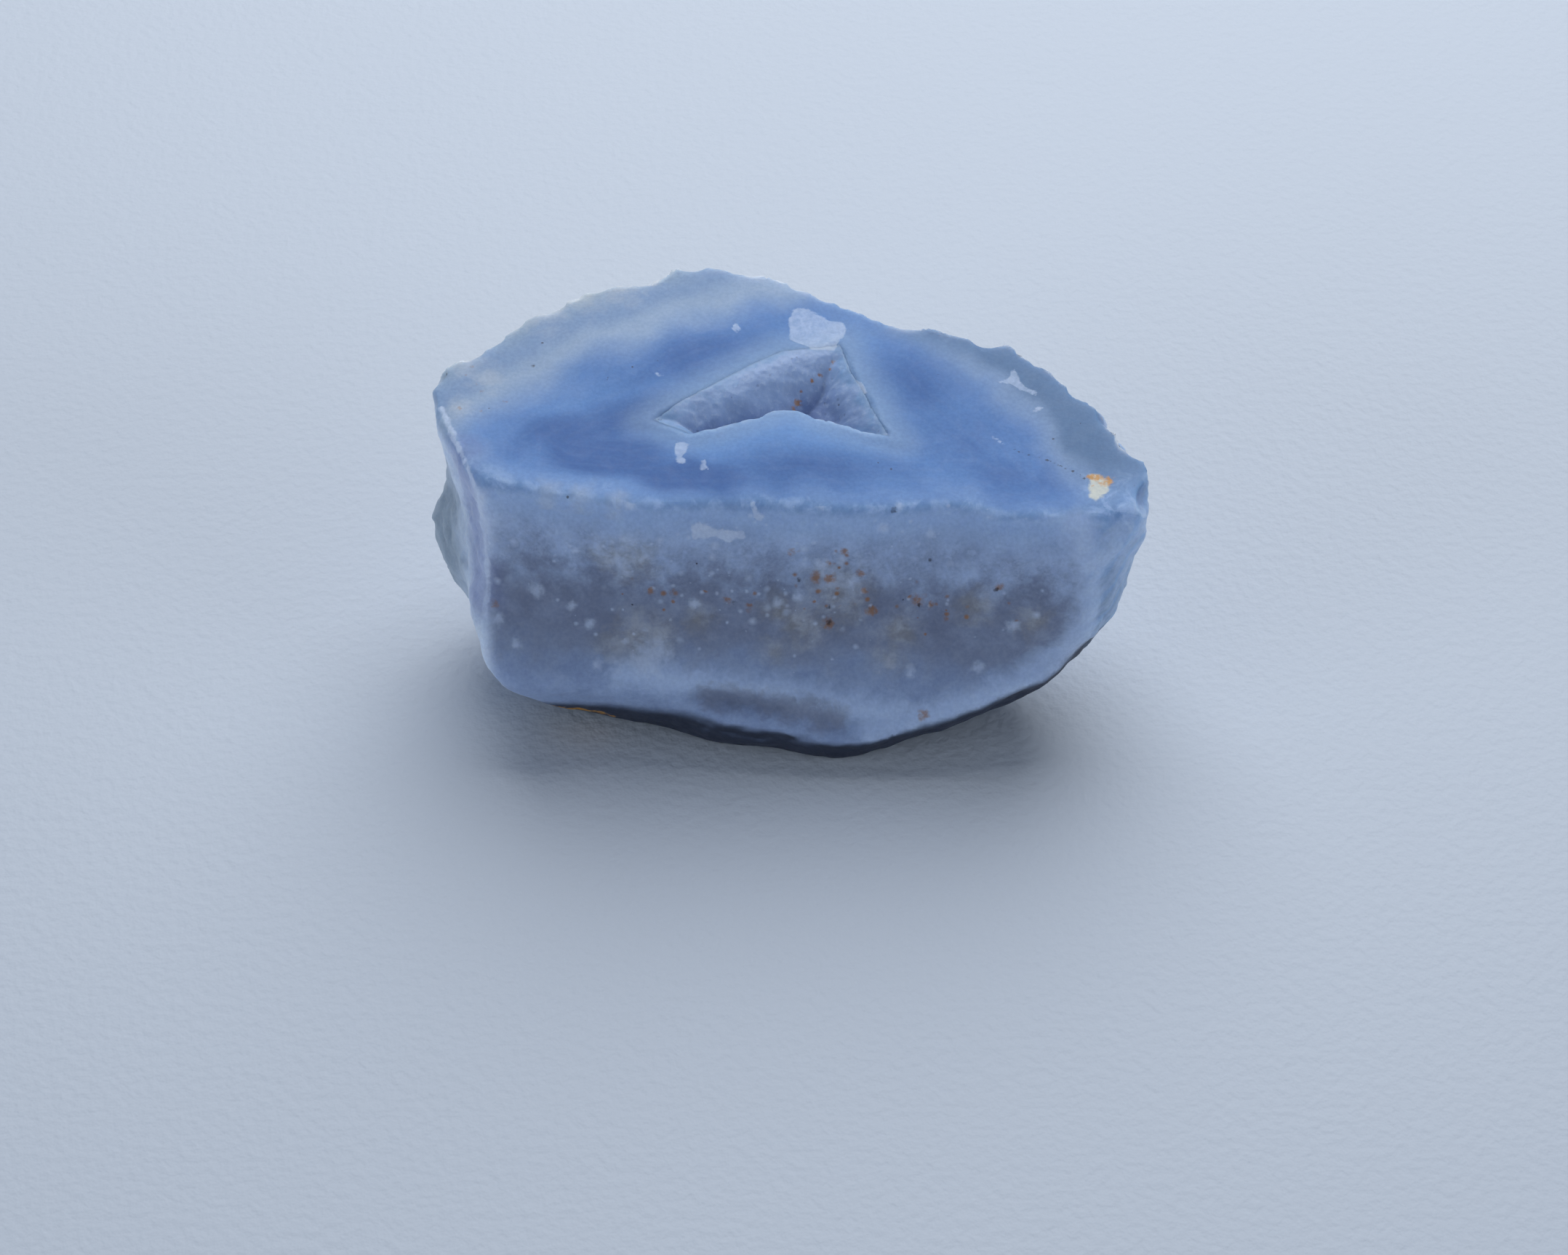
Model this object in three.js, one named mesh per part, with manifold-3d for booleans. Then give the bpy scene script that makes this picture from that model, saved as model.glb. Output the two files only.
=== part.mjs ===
// A rough broken piece of blue lace agate, with a druse of fine quartz crystals in its hollow.
//
// The stone is a block about 45 mm long. Its top is a fresh break, almost flat and a little tilted. Its
// front is the weathered rind of the nodule, steep and slightly leaning out. Low on the rind a shallow notch
// runs between two soft ledges, the lip and the brow, and under the brow the stone falls back to the flat spot
// that it rests on. The other sides are shell-shaped breaks that slope in under a thin, chipped rim. The hollow
// in the top is a three-sided pit, the unfilled middle of the agate, and the druse is a thin crust of crystal
// points that lines it.
//
// Millimetres, +Z up, -Y towards the rind. The origin is under the middle of the stone, on the surface it
// rests on.
import * as THREE from "three";
import { ImprovedNoise } from "three/addons/math/ImprovedNoise.js";
import { mergeVertices } from "three/addons/utils/BufferGeometryUtils.js";
import Module from "manifold-3d";

const wasm = await Module();
wasm.setup();

// The stone's outline at seven heights, from the rim of the broken top down to the foot. Each is five sides that
// run anticlockwise seen from above and meet at the stone's upright edges. A side starts where the one before
// it ends. The rim's height comes from the broken top, and the foot is flat.
const sideOrder = ["right", "back", "backLeft", "left", "front"];
const sideSteps = { right: 19, back: 20, backLeft: 19, left: 11, front: 44 };

const rim = {
  right: [
    [19.3, -8.6], [20.5, -8.0], [21.9, -6.8], [22.4, -4.7], [22.3, -3.3], [21.3, -1.7], [20.9, -0.7],
    [20.4, 0.8], [19.3, 2.3], [18.1, 3.5], [16.9, 4.2], [16.5, 5.3],
  ],
  back: [
    [14.5, 7.1], [11.8, 7.4], [8.0, 8.7], [7.2, 9.4], [5.3, 9.8], [1.8, 11.9], [-2.8, 13.4], [-5.0, 13.9],
  ],
  backLeft: [
    [-7.4, 13.7], [-8.3, 12.3], [-10.5, 11.6], [-13.2, 10.7], [-14.5, 9.8], [-16.8, 8.4], [-18.0, 6.6],
    [-19.8, 5.2],
  ],
  left: [[-21.8, 3.5], [-22.3, 1.6], [-21.7, -0.7], [-20.5, -3.1]],
  front: [
    [-19.1, -6.2], [-14.8, -7.2], [-9.2, -8.1], [-2.4, -7.8], [2.3, -8.1], [6.5, -7.9], [10.4, -7.4],
    [13.4, -8.2], [16.0, -8.1], [18.2, -8.9],
  ],
};
const cheek = {
  right: [[18.7, -9.1, 12.8], [20.8, -6.9, 12.4], [21.6, -4.9, 12.0], [20.3, -0.5, 12.5], [17.3, 3.0, 12.5]],
  back: [[13.3, 5.6, 12.5], [8.0, 7.4, 12.0], [1.5, 10.4, 12.0]],
  backLeft: [[-6.3, 11.6, 12.0], [-12.5, 8.6, 12.0], [-17.6, 4.9, 12.0]],
  left: [[-21.9, 1.0, 12.0], [-21.2, -1.8, 12.3], [-19.9, -4.6, 12.7]],
  front: [
    [-18.5, -7.2, 13.2], [-14.0, -8.6, 12.5], [-8.0, -9.2, 12.2], [0.0, -9.2, 12.0], [8.0, -9.1, 12.0],
    [14.0, -9.1, 12.2], [17.2, -9.2, 12.6],
  ],
};
const hip = {
  right: [[18.3, -9.9, 9.6], [20.2, -7.5, 8.8], [20.8, -5.2, 8.4], [19.4, -1.8, 8.5], [15.8, 2.2, 8.3]],
  back: [[11.8, 4.6, 8.2], [7.0, 6.0, 8.0], [1.0, 8.6, 8.0]],
  backLeft: [[-5.8, 9.8, 8.0], [-12.2, 7.6, 8.0], [-18.0, 4.8, 8.2]],
  left: [[-23.1, 1.0, 8.6], [-22.2, -1.2, 8.0], [-20.4, -4.6, 8.6]],
  front: [
    [-19.5, -8.3, 9.4], [-15.0, -9.9, 8.6], [-8.0, -10.2, 8.4], [0.0, -10.3, 8.2], [8.0, -10.4, 8.2],
    [14.0, -10.3, 8.4], [17.0, -10.1, 9.0],
  ],
};
const lip = {
  right: [[17.9, -9.8, 8.0], [19.2, -7.4, 6.6], [19.2, -5.8, 5.8], [17.4, -3.1, 5.0], [13.8, 0.8, 4.9]],
  back: [[10.5, 3.6, 4.9], [5.0, 5.2, 4.7], [0.0, 7.1, 4.6]],
  backLeft: [[-5.4, 7.8, 4.6], [-11.6, 6.5, 4.6], [-17.0, 4.0, 4.6]],
  left: [[-22.0, 0.2, 4.9], [-20.6, -2.0, 4.8], [-19.3, -5.4, 6.2]],
  front: [
    [-18.9, -10.3, 7.2], [-17.9, -11.2, 6.8], [-15.4, -11.5, 6.6], [-12.6, -11.1, 6.5], [-10.1, -11.0, 6.6],
    [-6.1, -11.3, 6.3], [-3.9, -11.4, 5.9], [-1.1, -11.5, 5.7], [1.2, -11.7, 5.3], [3.9, -12.0, 4.9],
    [6.7, -12.2, 4.5], [9.4, -12.1, 4.6], [12.3, -11.5, 5.5], [14.3, -11.0, 6.2], [16.6, -10.3, 7.2],
  ],
};
const brow = {
  right: [[17.3, -9.9, 7.0], [18.3, -7.5, 5.2], [18.2, -6.0, 4.4], [16.4, -3.3, 3.7], [12.8, 0.2, 3.6]],
  back: [[9.6, 2.8, 3.5], [4.5, 4.4, 3.3], [0.0, 6.2, 3.2]],
  backLeft: [[-5.0, 6.9, 3.2], [-10.7, 5.8, 3.2], [-15.9, 3.4, 3.3]],
  left: [[-20.4, 0.0, 3.5], [-19.4, -2.4, 3.4], [-18.2, -6.4, 4.6]],
  front: [
    [-18.2, -10.4, 5.8], [-17.5, -11.2, 5.6], [-15.8, -11.5, 5.8], [-13.8, -11.2, 5.8], [-12.4, -11.1, 5.5],
    [-9.7, -11.3, 4.9], [-6.8, -11.6, 4.7], [-3.9, -12.0, 3.8], [-1.0, -12.4, 3.5], [0.7, -12.6, 3.0],
    [2.6, -12.8, 2.6], [3.7, -12.9, 2.2], [5.8, -12.8, 2.8], [8.0, -12.5, 3.6], [10.7, -12.1, 4.5],
    [12.3, -11.8, 5.0], [14.3, -11.4, 5.8], [16.6, -10.7, 6.4],
  ],
};
const belly = {
  right: [[16.6, -9.2, 4.6], [17.0, -7.0, 3.2], [15.6, -4.6, 2.4], [12.0, -1.2, 2.0]],
  back: [[8.6, 1.6, 1.8], [4.0, 3.2, 1.6], [0.0, 4.6, 1.6]],
  backLeft: [[-4.0, 5.2, 1.6], [-9.4, 4.3, 1.6], [-13.8, 2.2, 1.6]],
  left: [[-17.0, -0.6, 1.8], [-16.4, -2.8, 1.7], [-15.8, -5.4, 1.8]],
  front: [
    [-15.6, -7.0, 1.4], [-13.7, -8.0, 0.6], [-12.3, -8.3, 0.6], [-9.5, -9.2, 0.5], [-7.1, -9.8, 0.45],
    [-3.9, -10.8, 0.4], [-1.1, -11.1, 0.4], [1.6, -12.0, 0.35], [3.5, -12.1, 0.35], [6.7, -11.1, 0.5],
    [9.5, -10.4, 1.2], [12.4, -9.7, 2.0], [14.2, -9.7, 3.0], [15.8, -9.5, 3.9],
  ],
};
const foot = {
  right: [[12.0, -7.6], [12.4, -5.8], [11.2, -3.2]],
  back: [[8.4, -0.6], [4.0, 1.8]],
  backLeft: [[-2.6, 3.2], [-7.4, 3.0]],
  left: [[-12.4, 0.2], [-13.0, -3.4]],
  front: [
    [-12.8, -6.6], [-9.6, -8.5], [-6.2, -9.7], [-1.6, -10.5], [1.4, -11.4], [3.5, -11.6], [5.6, -11.0],
    [7.4, -10.0], [9.9, -8.9],
  ],
};

// A notch along the face between the lip and the brow, deepest at some places.
const notch = [
  { x: -3.0, halfLength: 5.4, depth: 0.85 },
  { x: 5.0, halfLength: 4.0, depth: 0.4 },
];

// The flat spot's middle, and the rows of faces between one outline and the next.
const footMiddle = new THREE.Vector3(-0.5, -3.8, 0);
const footRows = 2;
const underRows = 3;
const wallRows = 10;
const topRows = 9;

// The broken top: a plane that falls to the right and the front, with low swells (+) and dips (-). It rolls
// over the front right corner, past a line through a point, and at the rim its edge is a little rounded.
const topHeight = 18.6;
const topFallRight = 0.04;
const topFallFront = 0.03;
const swells = [
  { x: 0.0, y: -2.2, radius: 4.5, height: 0.45 },
  { x: -12.5, y: -1.5, radius: 5.0, height: -0.45 },
  { x: 12.0, y: -1.0, radius: 4.5, height: -0.4 },
  { x: -12.0, y: 6.5, radius: 4.0, height: 0.3 },
  { x: 8.0, y: 5.0, radius: 3.5, height: 0.3 },
  { x: 17.5, y: -4.5, radius: 3.0, height: -0.35 },
];
const cornerRoll = {
  from: new THREE.Vector2(16.5, -7.0),
  towards: new THREE.Vector2(0.12, -0.99),
  rate: 0.5,
  startsAtX: 14.0,
  fullAtX: 18.0,
};
const edgeDrop = 0.22;
const shoulderShare = 0.07;

// The hollow: its mouth seen from above, with a narrow bare border inside it. Inside the border its
// walls fall straight to one point. The druse lies on the walls, and the stone's own walls are that much lower.
const pitMouth = [
  [6.7, -1.9], [5.9, -0.3], [5.1, 1.9], [4.1, 4.3], [3.4, 7.0], [2.0, 6.4], [-0.5, 6.0], [-2.5, 4.6],
  [-5.0, 2.6], [-7.0, 1.1], [-8.8, -0.6], [-6.0, -1.9], [-4.3, -1.5], [-2.0, -0.5], [-0.4, 0.2],
  [0.8, 0.1], [2.0, -0.6], [3.9, -1.1],
];
const pitCentre = new THREE.Vector2(0.5, 2.2);
const borderCentre = new THREE.Vector2(2.2, 2.6);
const borderShare = 0.09;
const borderDrop = 0.2;
const stoneWall = { drop: 0.75, deepest: new THREE.Vector3(0.5, 1.7, 13.9) };
const druseUnder = { drop: 0.38, deepest: new THREE.Vector3(0.5, 1.88, 14.5) };
const druseTop = { drop: 0.0, deepest: new THREE.Vector3(0.5, 2.0, 15.0) };
const pitRows = 5;
const mouthSamples = 400;

// The druse starts a little inside the border. Its top is a field of crystal points.
const druseStart = 0.1;
const crystalHeight = 0.34;
const druseColumns = 60;
const druseRows = { top: 10, under: 4 };

// Shell-shaped breaks, cut with balls that bite into the sides: place of the ball's middle and its radius.
const shellBreaks = [
  { x: -31.6, y: -7.5, z: 13.5, radius: 12.0 },
  { x: -24.5, y: -5.8, z: 10.2, radius: 4.6 },
  { x: -16.5, y: 22.0, z: 9.0, radius: 15.5 },
  { x: 1.5, y: 27.5, z: 9.5, radius: 17.6 },
  { x: 13.5, y: 20.5, z: 5.0, radius: 15.6 },
  { x: 33.0, y: 3.0, z: 7.0, radius: 13.4 },
  { x: -27.5, y: 12.0, z: 1.0, radius: 13.0 },
  { x: -9.5, y: 17.0, z: -5.5, radius: 14.0 },
  { x: 11.0, y: 14.0, z: -8.0, radius: 15.0 },
  { x: 26.0, y: -12.0, z: -3.5, radius: 11.6 },
  { x: -21.0, y: -16.5, z: -2.5, radius: 9.4 },
];
const breakFaceSize = 1.5;

// Small chips along the thin rim.
const rimChips = [
  { x: -15.8, y: 10.6, z: 20.2, radius: 1.9 },
  { x: -19.4, y: 7.2, z: 20.4, radius: 1.7 },
  { x: -11.6, y: 13.2, z: 20.0, radius: 1.8 },
  { x: -22.6, y: 5.0, z: 20.3, radius: 1.6 },
  { x: 18.4, y: 5.6, z: 18.8, radius: 1.9 },
  { x: 20.3, y: 3.4, z: 18.6, radius: 1.4 },
  { x: 23.2, y: 0.2, z: 18.6, radius: 1.8 },
  { x: 21.8, y: 1.6, z: 18.6, radius: 1.7 },
  { x: 23.6, y: -1.4, z: 18.4, radius: 1.6 },
  { x: 9.6, y: 10.2, z: 19.6, radius: 1.7 },
];
const chipFaceSize = 0.9;

// Unevenness of broken faces: two sizes of gentle waves.
const waves = [
  { length: 7.0, height: 0.55 },
  { length: 2.6, height: 0.28 },
];
const waveStart = new THREE.Vector3(3.1, 7.7, 1.3);
const noise = new ImprovedNoise();

function unevenness(x, y, z) {
  let sum = 0;
  for (const wave of waves) {
    const at = new THREE.Vector3(x, y, z).divideScalar(wave.length).add(waveStart);
    sum += wave.height * noise.noise(at.x, at.y, at.z);
  }
  return sum;
}

const toVector = ([x, y, z = 0]) => new THREE.Vector3(x, y, z);

// One outline as evenly spaced points along each of its sides.
function sampleOutline(outline) {
  return sideOrder.flatMap((side, i) => {
    const next = sideOrder[(i + 1) % sideOrder.length];
    const points = [...outline[side], outline[next][0]].map(toVector);
    const curve = new THREE.CatmullRomCurve3(points, false, "centripetal");
    return curve.getSpacedPoints(sideSteps[side]).slice(0, -1);
  });
}

// The rings between the first and the last of some outlines, along a smooth curve through all of them.
function ringsThrough(outlines, rows) {
  const columns = outlines[0].map((_, i) => {
    const curve = new THREE.CatmullRomCurve3(outlines.map((o) => o[i]), false, "centripetal");
    return curve.getSpacedPoints(rows);
  });
  return Array.from({ length: rows + 1 }, (_, row) => columns.map((column) => column[row]));
}

// Moves points in or out from the stone's middle line by the unevenness there.
function roughen(rings) {
  for (const p of rings.flat()) {
    const outwards = new THREE.Vector3(p.x, p.y, 0).normalize();
    p.addScaledVector(outwards, unevenness(p.x, p.y, p.z));
  }
}

// The ring at the bottom of the notch, halfway between the brow and the lip.
function notchRing(browRing, lipRing) {
  return browRing.map((p, i) => {
    const middle = p.clone().lerp(lipRing[i], 0.5);
    if (middle.y > 0) return middle;
    for (const dip of notch) {
      const share = Math.min(1, Math.abs(middle.x - dip.x) / dip.halfLength);
      middle.y += dip.depth * Math.cos((share * Math.PI) / 2) ** 2;
    }
    return middle;
  });
}

// Height of the broken top.
function topAt(x, y) {
  let z = topHeight - topFallRight * x + topFallFront * y;
  for (const swell of swells) {
    const away = Math.hypot(x - swell.x, y - swell.y) / swell.radius;
    z += swell.height * Math.exp(-away * away);
  }
  const pastCorner = Math.max(0, new THREE.Vector2(x, y).sub(cornerRoll.from).dot(cornerRoll.towards));
  const cornerNear = THREE.MathUtils.smoothstep(x, cornerRoll.startsAtX, cornerRoll.fullAtX);
  return z - cornerRoll.rate * cornerNear * pastCorner ** 2;
}

const mouthCurve = new THREE.CatmullRomCurve3(
  pitMouth.map(([x, y]) => new THREE.Vector3(x, y, 0)),
  true,
  "centripetal",
);
const mouthPoints = mouthCurve.getSpacedPoints(mouthSamples).slice(1).map((p) => {
  const arm = new THREE.Vector2(p.x, p.y).sub(pitCentre);
  return { angle: arm.angle(), reach: arm.length() };
});
mouthPoints.sort((a, b) => a.angle - b.angle);

// How far the hollow's mouth is from its centre, in a direction.
function mouthReach(direction) {
  const turn = 2 * Math.PI;
  const angle = THREE.MathUtils.euclideanModulo(direction, turn);
  const after = Math.max(0, mouthPoints.findIndex((p) => p.angle > angle));
  const high = mouthPoints[after];
  const low = mouthPoints.at(after - 1);
  const span = THREE.MathUtils.euclideanModulo(high.angle - low.angle, turn);
  const share = THREE.MathUtils.euclideanModulo(angle - low.angle, turn) / span;
  return low.reach + (high.reach - low.reach) * share;
}

function mouthPoint(angle) {
  const reach = mouthReach(angle);
  const x = pitCentre.x + reach * Math.cos(angle);
  const y = pitCentre.y + reach * Math.sin(angle);
  return new THREE.Vector3(x, y, topAt(x, y));
}

// The inner edge of the hollow's bare border.
function borderPoint(angle) {
  const mouth = mouthPoint(angle);
  const inner = new THREE.Vector2(mouth.x, mouth.y).lerp(borderCentre, borderShare);
  return new THREE.Vector3(inner.x, inner.y, mouth.z - borderDrop);
}

// A point of a wall of the hollow: share 0 is at the border and 1 at the wall's deepest point.
function wallPoint(wall, angle, share) {
  const edge = borderPoint(angle);
  edge.z -= wall.drop;
  return edge.lerp(wall.deepest, share);
}

const angleFromPit = (p) => Math.atan2(p.y - pitCentre.y, p.x - pitCentre.x);

// Rings from the rim to the hollow's mouth. The first is close to the rim, where the edge is rounded.
function topRings(rimRing) {
  return Array.from({ length: topRows }, (_, row) => {
    const share = THREE.MathUtils.lerp(shoulderShare, 1, row / (topRows - 1));
    return rimRing.map((edge) => {
      const p = edge.clone().lerp(mouthPoint(angleFromPit(edge)), share);
      return p.setZ(topAt(p.x, p.y));
    });
  });
}

function pitRings(rimRing) {
  const border = rimRing.map((edge) => borderPoint(angleFromPit(edge)));
  const walls = Array.from({ length: pitRows }, (_, row) =>
    rimRing.map((edge) => wallPoint(stoneWall, angleFromPit(edge), row / pitRows)),
  );
  return [border, ...walls];
}

// A closed skin over rings of equal length, with a point at each end. The rings turn anticlockwise seen
// from the last point.
function skinOverRings(firstPoint, rings, lastPoint) {
  const around = rings[0].length;
  const positions = [firstPoint, ...rings.flat(), lastPoint].flatMap((p) => [p.x, p.y, p.z]);
  const last = rings.length * around + 1;
  const at = (ring, i) => 1 + ring * around + (i % around);
  const faces = [];
  for (let i = 0; i < around; i++) {
    faces.push(0, at(0, i + 1), at(0, i));
    for (let ring = 0; ring + 1 < rings.length; ring++) {
      faces.push(at(ring, i), at(ring, i + 1), at(ring + 1, i + 1));
      faces.push(at(ring, i), at(ring + 1, i + 1), at(ring + 1, i));
    }
    faces.push(at(rings.length - 1, i), at(rings.length - 1, i + 1), last);
  }
  const geometry = new THREE.BufferGeometry();
  geometry.setAttribute("position", new THREE.Float32BufferAttribute(positions, 3));
  geometry.setIndex(faces);
  return geometry;
}

const weldDistance = 1e-4;

function toSolid(geometry) {
  const bare = new THREE.BufferGeometry();
  bare.setAttribute("position", geometry.getAttribute("position"));
  if (geometry.index) bare.setIndex(geometry.index);
  const merged = mergeVertices(bare, weldDistance);
  return new wasm.Manifold(
    new wasm.Mesh({
      numProp: 3,
      vertProperties: new Float32Array(merged.attributes.position.array),
      triVerts: new Uint32Array(merged.index.array),
    }),
  );
}

function toGeometry(solid) {
  const mesh = solid.getMesh();
  const geometry = new THREE.BufferGeometry();
  geometry.setAttribute("position", new THREE.BufferAttribute(mesh.vertProperties, mesh.numProp));
  geometry.setIndex(new THREE.BufferAttribute(mesh.triVerts, 1));
  geometry.computeVertexNormals();
  return geometry;
}

// A ball with an uneven skin, whose bite leaves a shell-shaped break.
const icosahedronEdge = 1.05;

function biteBall({ x, y, z, radius }, faceSize) {
  const detail = Math.round((icosahedronEdge * radius) / faceSize) - 1;
  const ball = new THREE.IcosahedronGeometry(radius, detail);
  ball.translate(x, y, z);
  const position = ball.getAttribute("position");
  const middle = new THREE.Vector3(x, y, z);
  for (let i = 0; i < position.count; i++) {
    const p = new THREE.Vector3().fromBufferAttribute(position, i);
    const outwards = p.clone().sub(middle).normalize();
    p.addScaledVector(outwards, unevenness(p.x, p.y, p.z));
    position.setXYZ(i, p.x, p.y, p.z);
  }
  return toSolid(ball);
}

function makeStone() {
  const outlines = [rim, cheek, hip, lip, brow, belly, foot];
  const [rimRing, cheekRing, hipRing, lipRing, browRing, bellyRing, footRing] = outlines.map(sampleOutline);
  const footRings = Array.from({ length: footRows }, (_, i) =>
    footRing.map((p) => footMiddle.clone().lerp(p, (i + 1) / footRows)),
  );
  for (const p of rimRing) p.z = topAt(p.x, p.y) - edgeDrop;
  const under = ringsThrough([bellyRing, browRing], underRows);
  const walls = ringsThrough([lipRing, hipRing, cheekRing, rimRing], wallRows);
  roughen(under.slice(1, -1));
  roughen(walls.slice(1, -1));
  const rings = [
    ...footRings,
    ...under,
    notchRing(browRing, lipRing),
    ...walls,
    ...topRings(rimRing),
    ...pitRings(rimRing),
  ];
  let stone = toSolid(skinOverRings(footMiddle, rings, stoneWall.deepest));
  for (const shell of shellBreaks) stone = stone.subtract(biteBall(shell, breakFaceSize));
  for (const chip of rimChips) stone = stone.subtract(biteBall(chip, chipFaceSize));
  return toGeometry(stone);
}

function makeDruse() {
  // A fixed sequence of numbers from 0 to 1, one for each crystal point.
  let seed = 7;
  const nextNumber = () => {
    seed = (seed * 16807) % 2147483647;
    return seed / 2147483647;
  };
  const layer = (wall, rows) =>
    Array.from({ length: rows }, (_, row) => {
      const share = THREE.MathUtils.lerp(druseStart, 1, row / rows);
      return Array.from({ length: druseColumns }, (__, i) =>
        wallPoint(wall, (2 * Math.PI * i) / druseColumns, share),
      );
    });
  const under = layer(druseUnder, druseRows.under).reverse();
  const top = layer(druseTop, druseRows.top);
  for (const p of top.slice(1).flat()) p.z += crystalHeight * nextNumber();
  return toGeometry(toSolid(skinOverRings(druseUnder.deepest, [...under, ...top], druseTop.deepest)));
}

const agateMaterial = new THREE.MeshStandardMaterial({ color: 0x7d9ad0, roughness: 0.42, metalness: 0 });
const druseMaterial = new THREE.MeshStandardMaterial({ color: 0x8793ad, roughness: 0.6, metalness: 0 });

const stone = new THREE.Mesh(makeStone(), agateMaterial);
stone.name = "agate_stone";

const druse = new THREE.Mesh(makeDruse(), druseMaterial);
druse.name = "druse_crust";

const agate = new THREE.Group();
agate.name = "blue_lace_agate";
agate.add(stone, druse);

const middle = new THREE.Box3().setFromObject(agate).getCenter(new THREE.Vector3());
for (const mesh of agate.children) mesh.geometry.translate(-middle.x, -middle.y, 0);

export default agate;
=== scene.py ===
# A rough piece of blue lace agate on a pale table. Metres, +Z up, the weathered rind faces -Y.
import math
import random

import bmesh
import bpy
import numpy as np
from mathutils import Matrix, Vector, noise


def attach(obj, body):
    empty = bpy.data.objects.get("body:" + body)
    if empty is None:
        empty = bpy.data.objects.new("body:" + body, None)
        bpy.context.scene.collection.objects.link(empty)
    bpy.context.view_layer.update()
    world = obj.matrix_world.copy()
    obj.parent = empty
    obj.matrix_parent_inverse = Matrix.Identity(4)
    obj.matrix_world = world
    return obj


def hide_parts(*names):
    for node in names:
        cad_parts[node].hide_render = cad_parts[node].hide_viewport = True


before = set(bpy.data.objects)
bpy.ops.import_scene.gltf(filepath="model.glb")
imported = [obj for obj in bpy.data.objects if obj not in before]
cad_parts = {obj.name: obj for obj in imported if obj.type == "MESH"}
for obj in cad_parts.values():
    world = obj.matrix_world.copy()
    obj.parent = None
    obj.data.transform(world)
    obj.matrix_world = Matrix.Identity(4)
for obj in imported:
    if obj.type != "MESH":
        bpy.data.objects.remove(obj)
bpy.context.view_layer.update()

mm = 0.001


def srgb(red, green, blue):
    # display colour from 0 to 255, as the linear colour that the shaders take
    shown = [part / 255 for part in (red, green, blue)]
    linear = [part / 12.92 if part <= 0.04045 else ((part + 0.055) / 1.055) ** 2.4 for part in shown]
    return (*linear, 1.0)


def addObject(name, data):
    piece = bpy.data.objects.new(name, data)
    bpy.context.scene.collection.objects.link(piece)
    return piece


# small helpers for shader nodes

def feed(tree, socket, value):
    # joins another node's output to the socket, or sets a plain value on it
    if isinstance(value, bpy.types.NodeSocket):
        tree.links.new(value, socket)
    else:
        socket.default_value = value


def addNode(tree, kind, inputs=None, **settings):
    node = tree.nodes.new("ShaderNode" + kind)
    for name, value in settings.items():
        setattr(node, name, value)
    for name, value in (inputs or {}).items():
        feed(tree, node.inputs[name], value)
    return node


def calc(tree, operation, first, second=0.0, third=0.0):
    return addNode(tree, "Math", {0: first, 1: second, 2: third}, operation=operation).outputs[0]


def plus(tree, first, second):
    return calc(tree, "ADD", first, second)


def times(tree, first, second):
    return calc(tree, "MULTIPLY", first, second)


def remap(tree, value, low, high, toLow=0.0, toHigh=1.0):
    inputs = {"Value": value, "From Min": low, "From Max": high, "To Min": toLow, "To Max": toHigh}
    return addNode(tree, "MapRange", inputs, interpolation_type="SMOOTHSTEP").outputs["Result"]


def spread(tree, pattern, low=0.0, high=1.0):
    # a noise pattern, whose values mostly lie from 0.3 to 0.7, stretched over low to high
    return remap(tree, pattern, 0.3, 0.7, low, high)


def mixColour(tree, amount, under, over, blend="MIX"):
    node = addNode(tree, "Mix", data_type="RGBA", blend_type=blend)
    sockets = {s.identifier: s for s in node.inputs}
    feed(tree, sockets["Factor_Float"], amount)
    feed(tree, sockets["A_Color"], under)
    feed(tree, sockets["B_Color"], over)
    return next(s for s in node.outputs if s.identifier == "Result_Color")


def noiseValue(tree, place, scale, detail, roughness, distortion=0.0):
    inputs = {"Vector": place, "Scale": scale, "Detail": detail, "Roughness": roughness}
    return addNode(tree, "TexNoise", {**inputs, "Distortion": distortion}).outputs["Fac"]


def readAttribute(tree, name):
    return addNode(tree, "Attribute", attribute_name=name).outputs["Fac"]


def newMaterial(name, finish):
    # a material with a Principled BSDF whose values over the whole surface are in finish
    material = bpy.data.materials.new(name)
    material.use_nodes = True
    tree = material.node_tree
    surface = tree.nodes["Principled BSDF"]
    for socket, value in finish.items():
        surface.inputs[socket].default_value = value
    place = addNode(tree, "TexCoord").outputs["Object"]
    return material, tree, surface, place


def addBump(tree, surface, height, look):
    bump = addNode(tree, "Bump", {**look, "Height": height})
    tree.links.new(bump.outputs["Normal"], surface.inputs["Normal"])


# how finely and how far specks are bent out of round
speckWarp = {"Scale": 1800.0, "Detail": 2.0}
speckBend = 0.18 * mm


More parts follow.
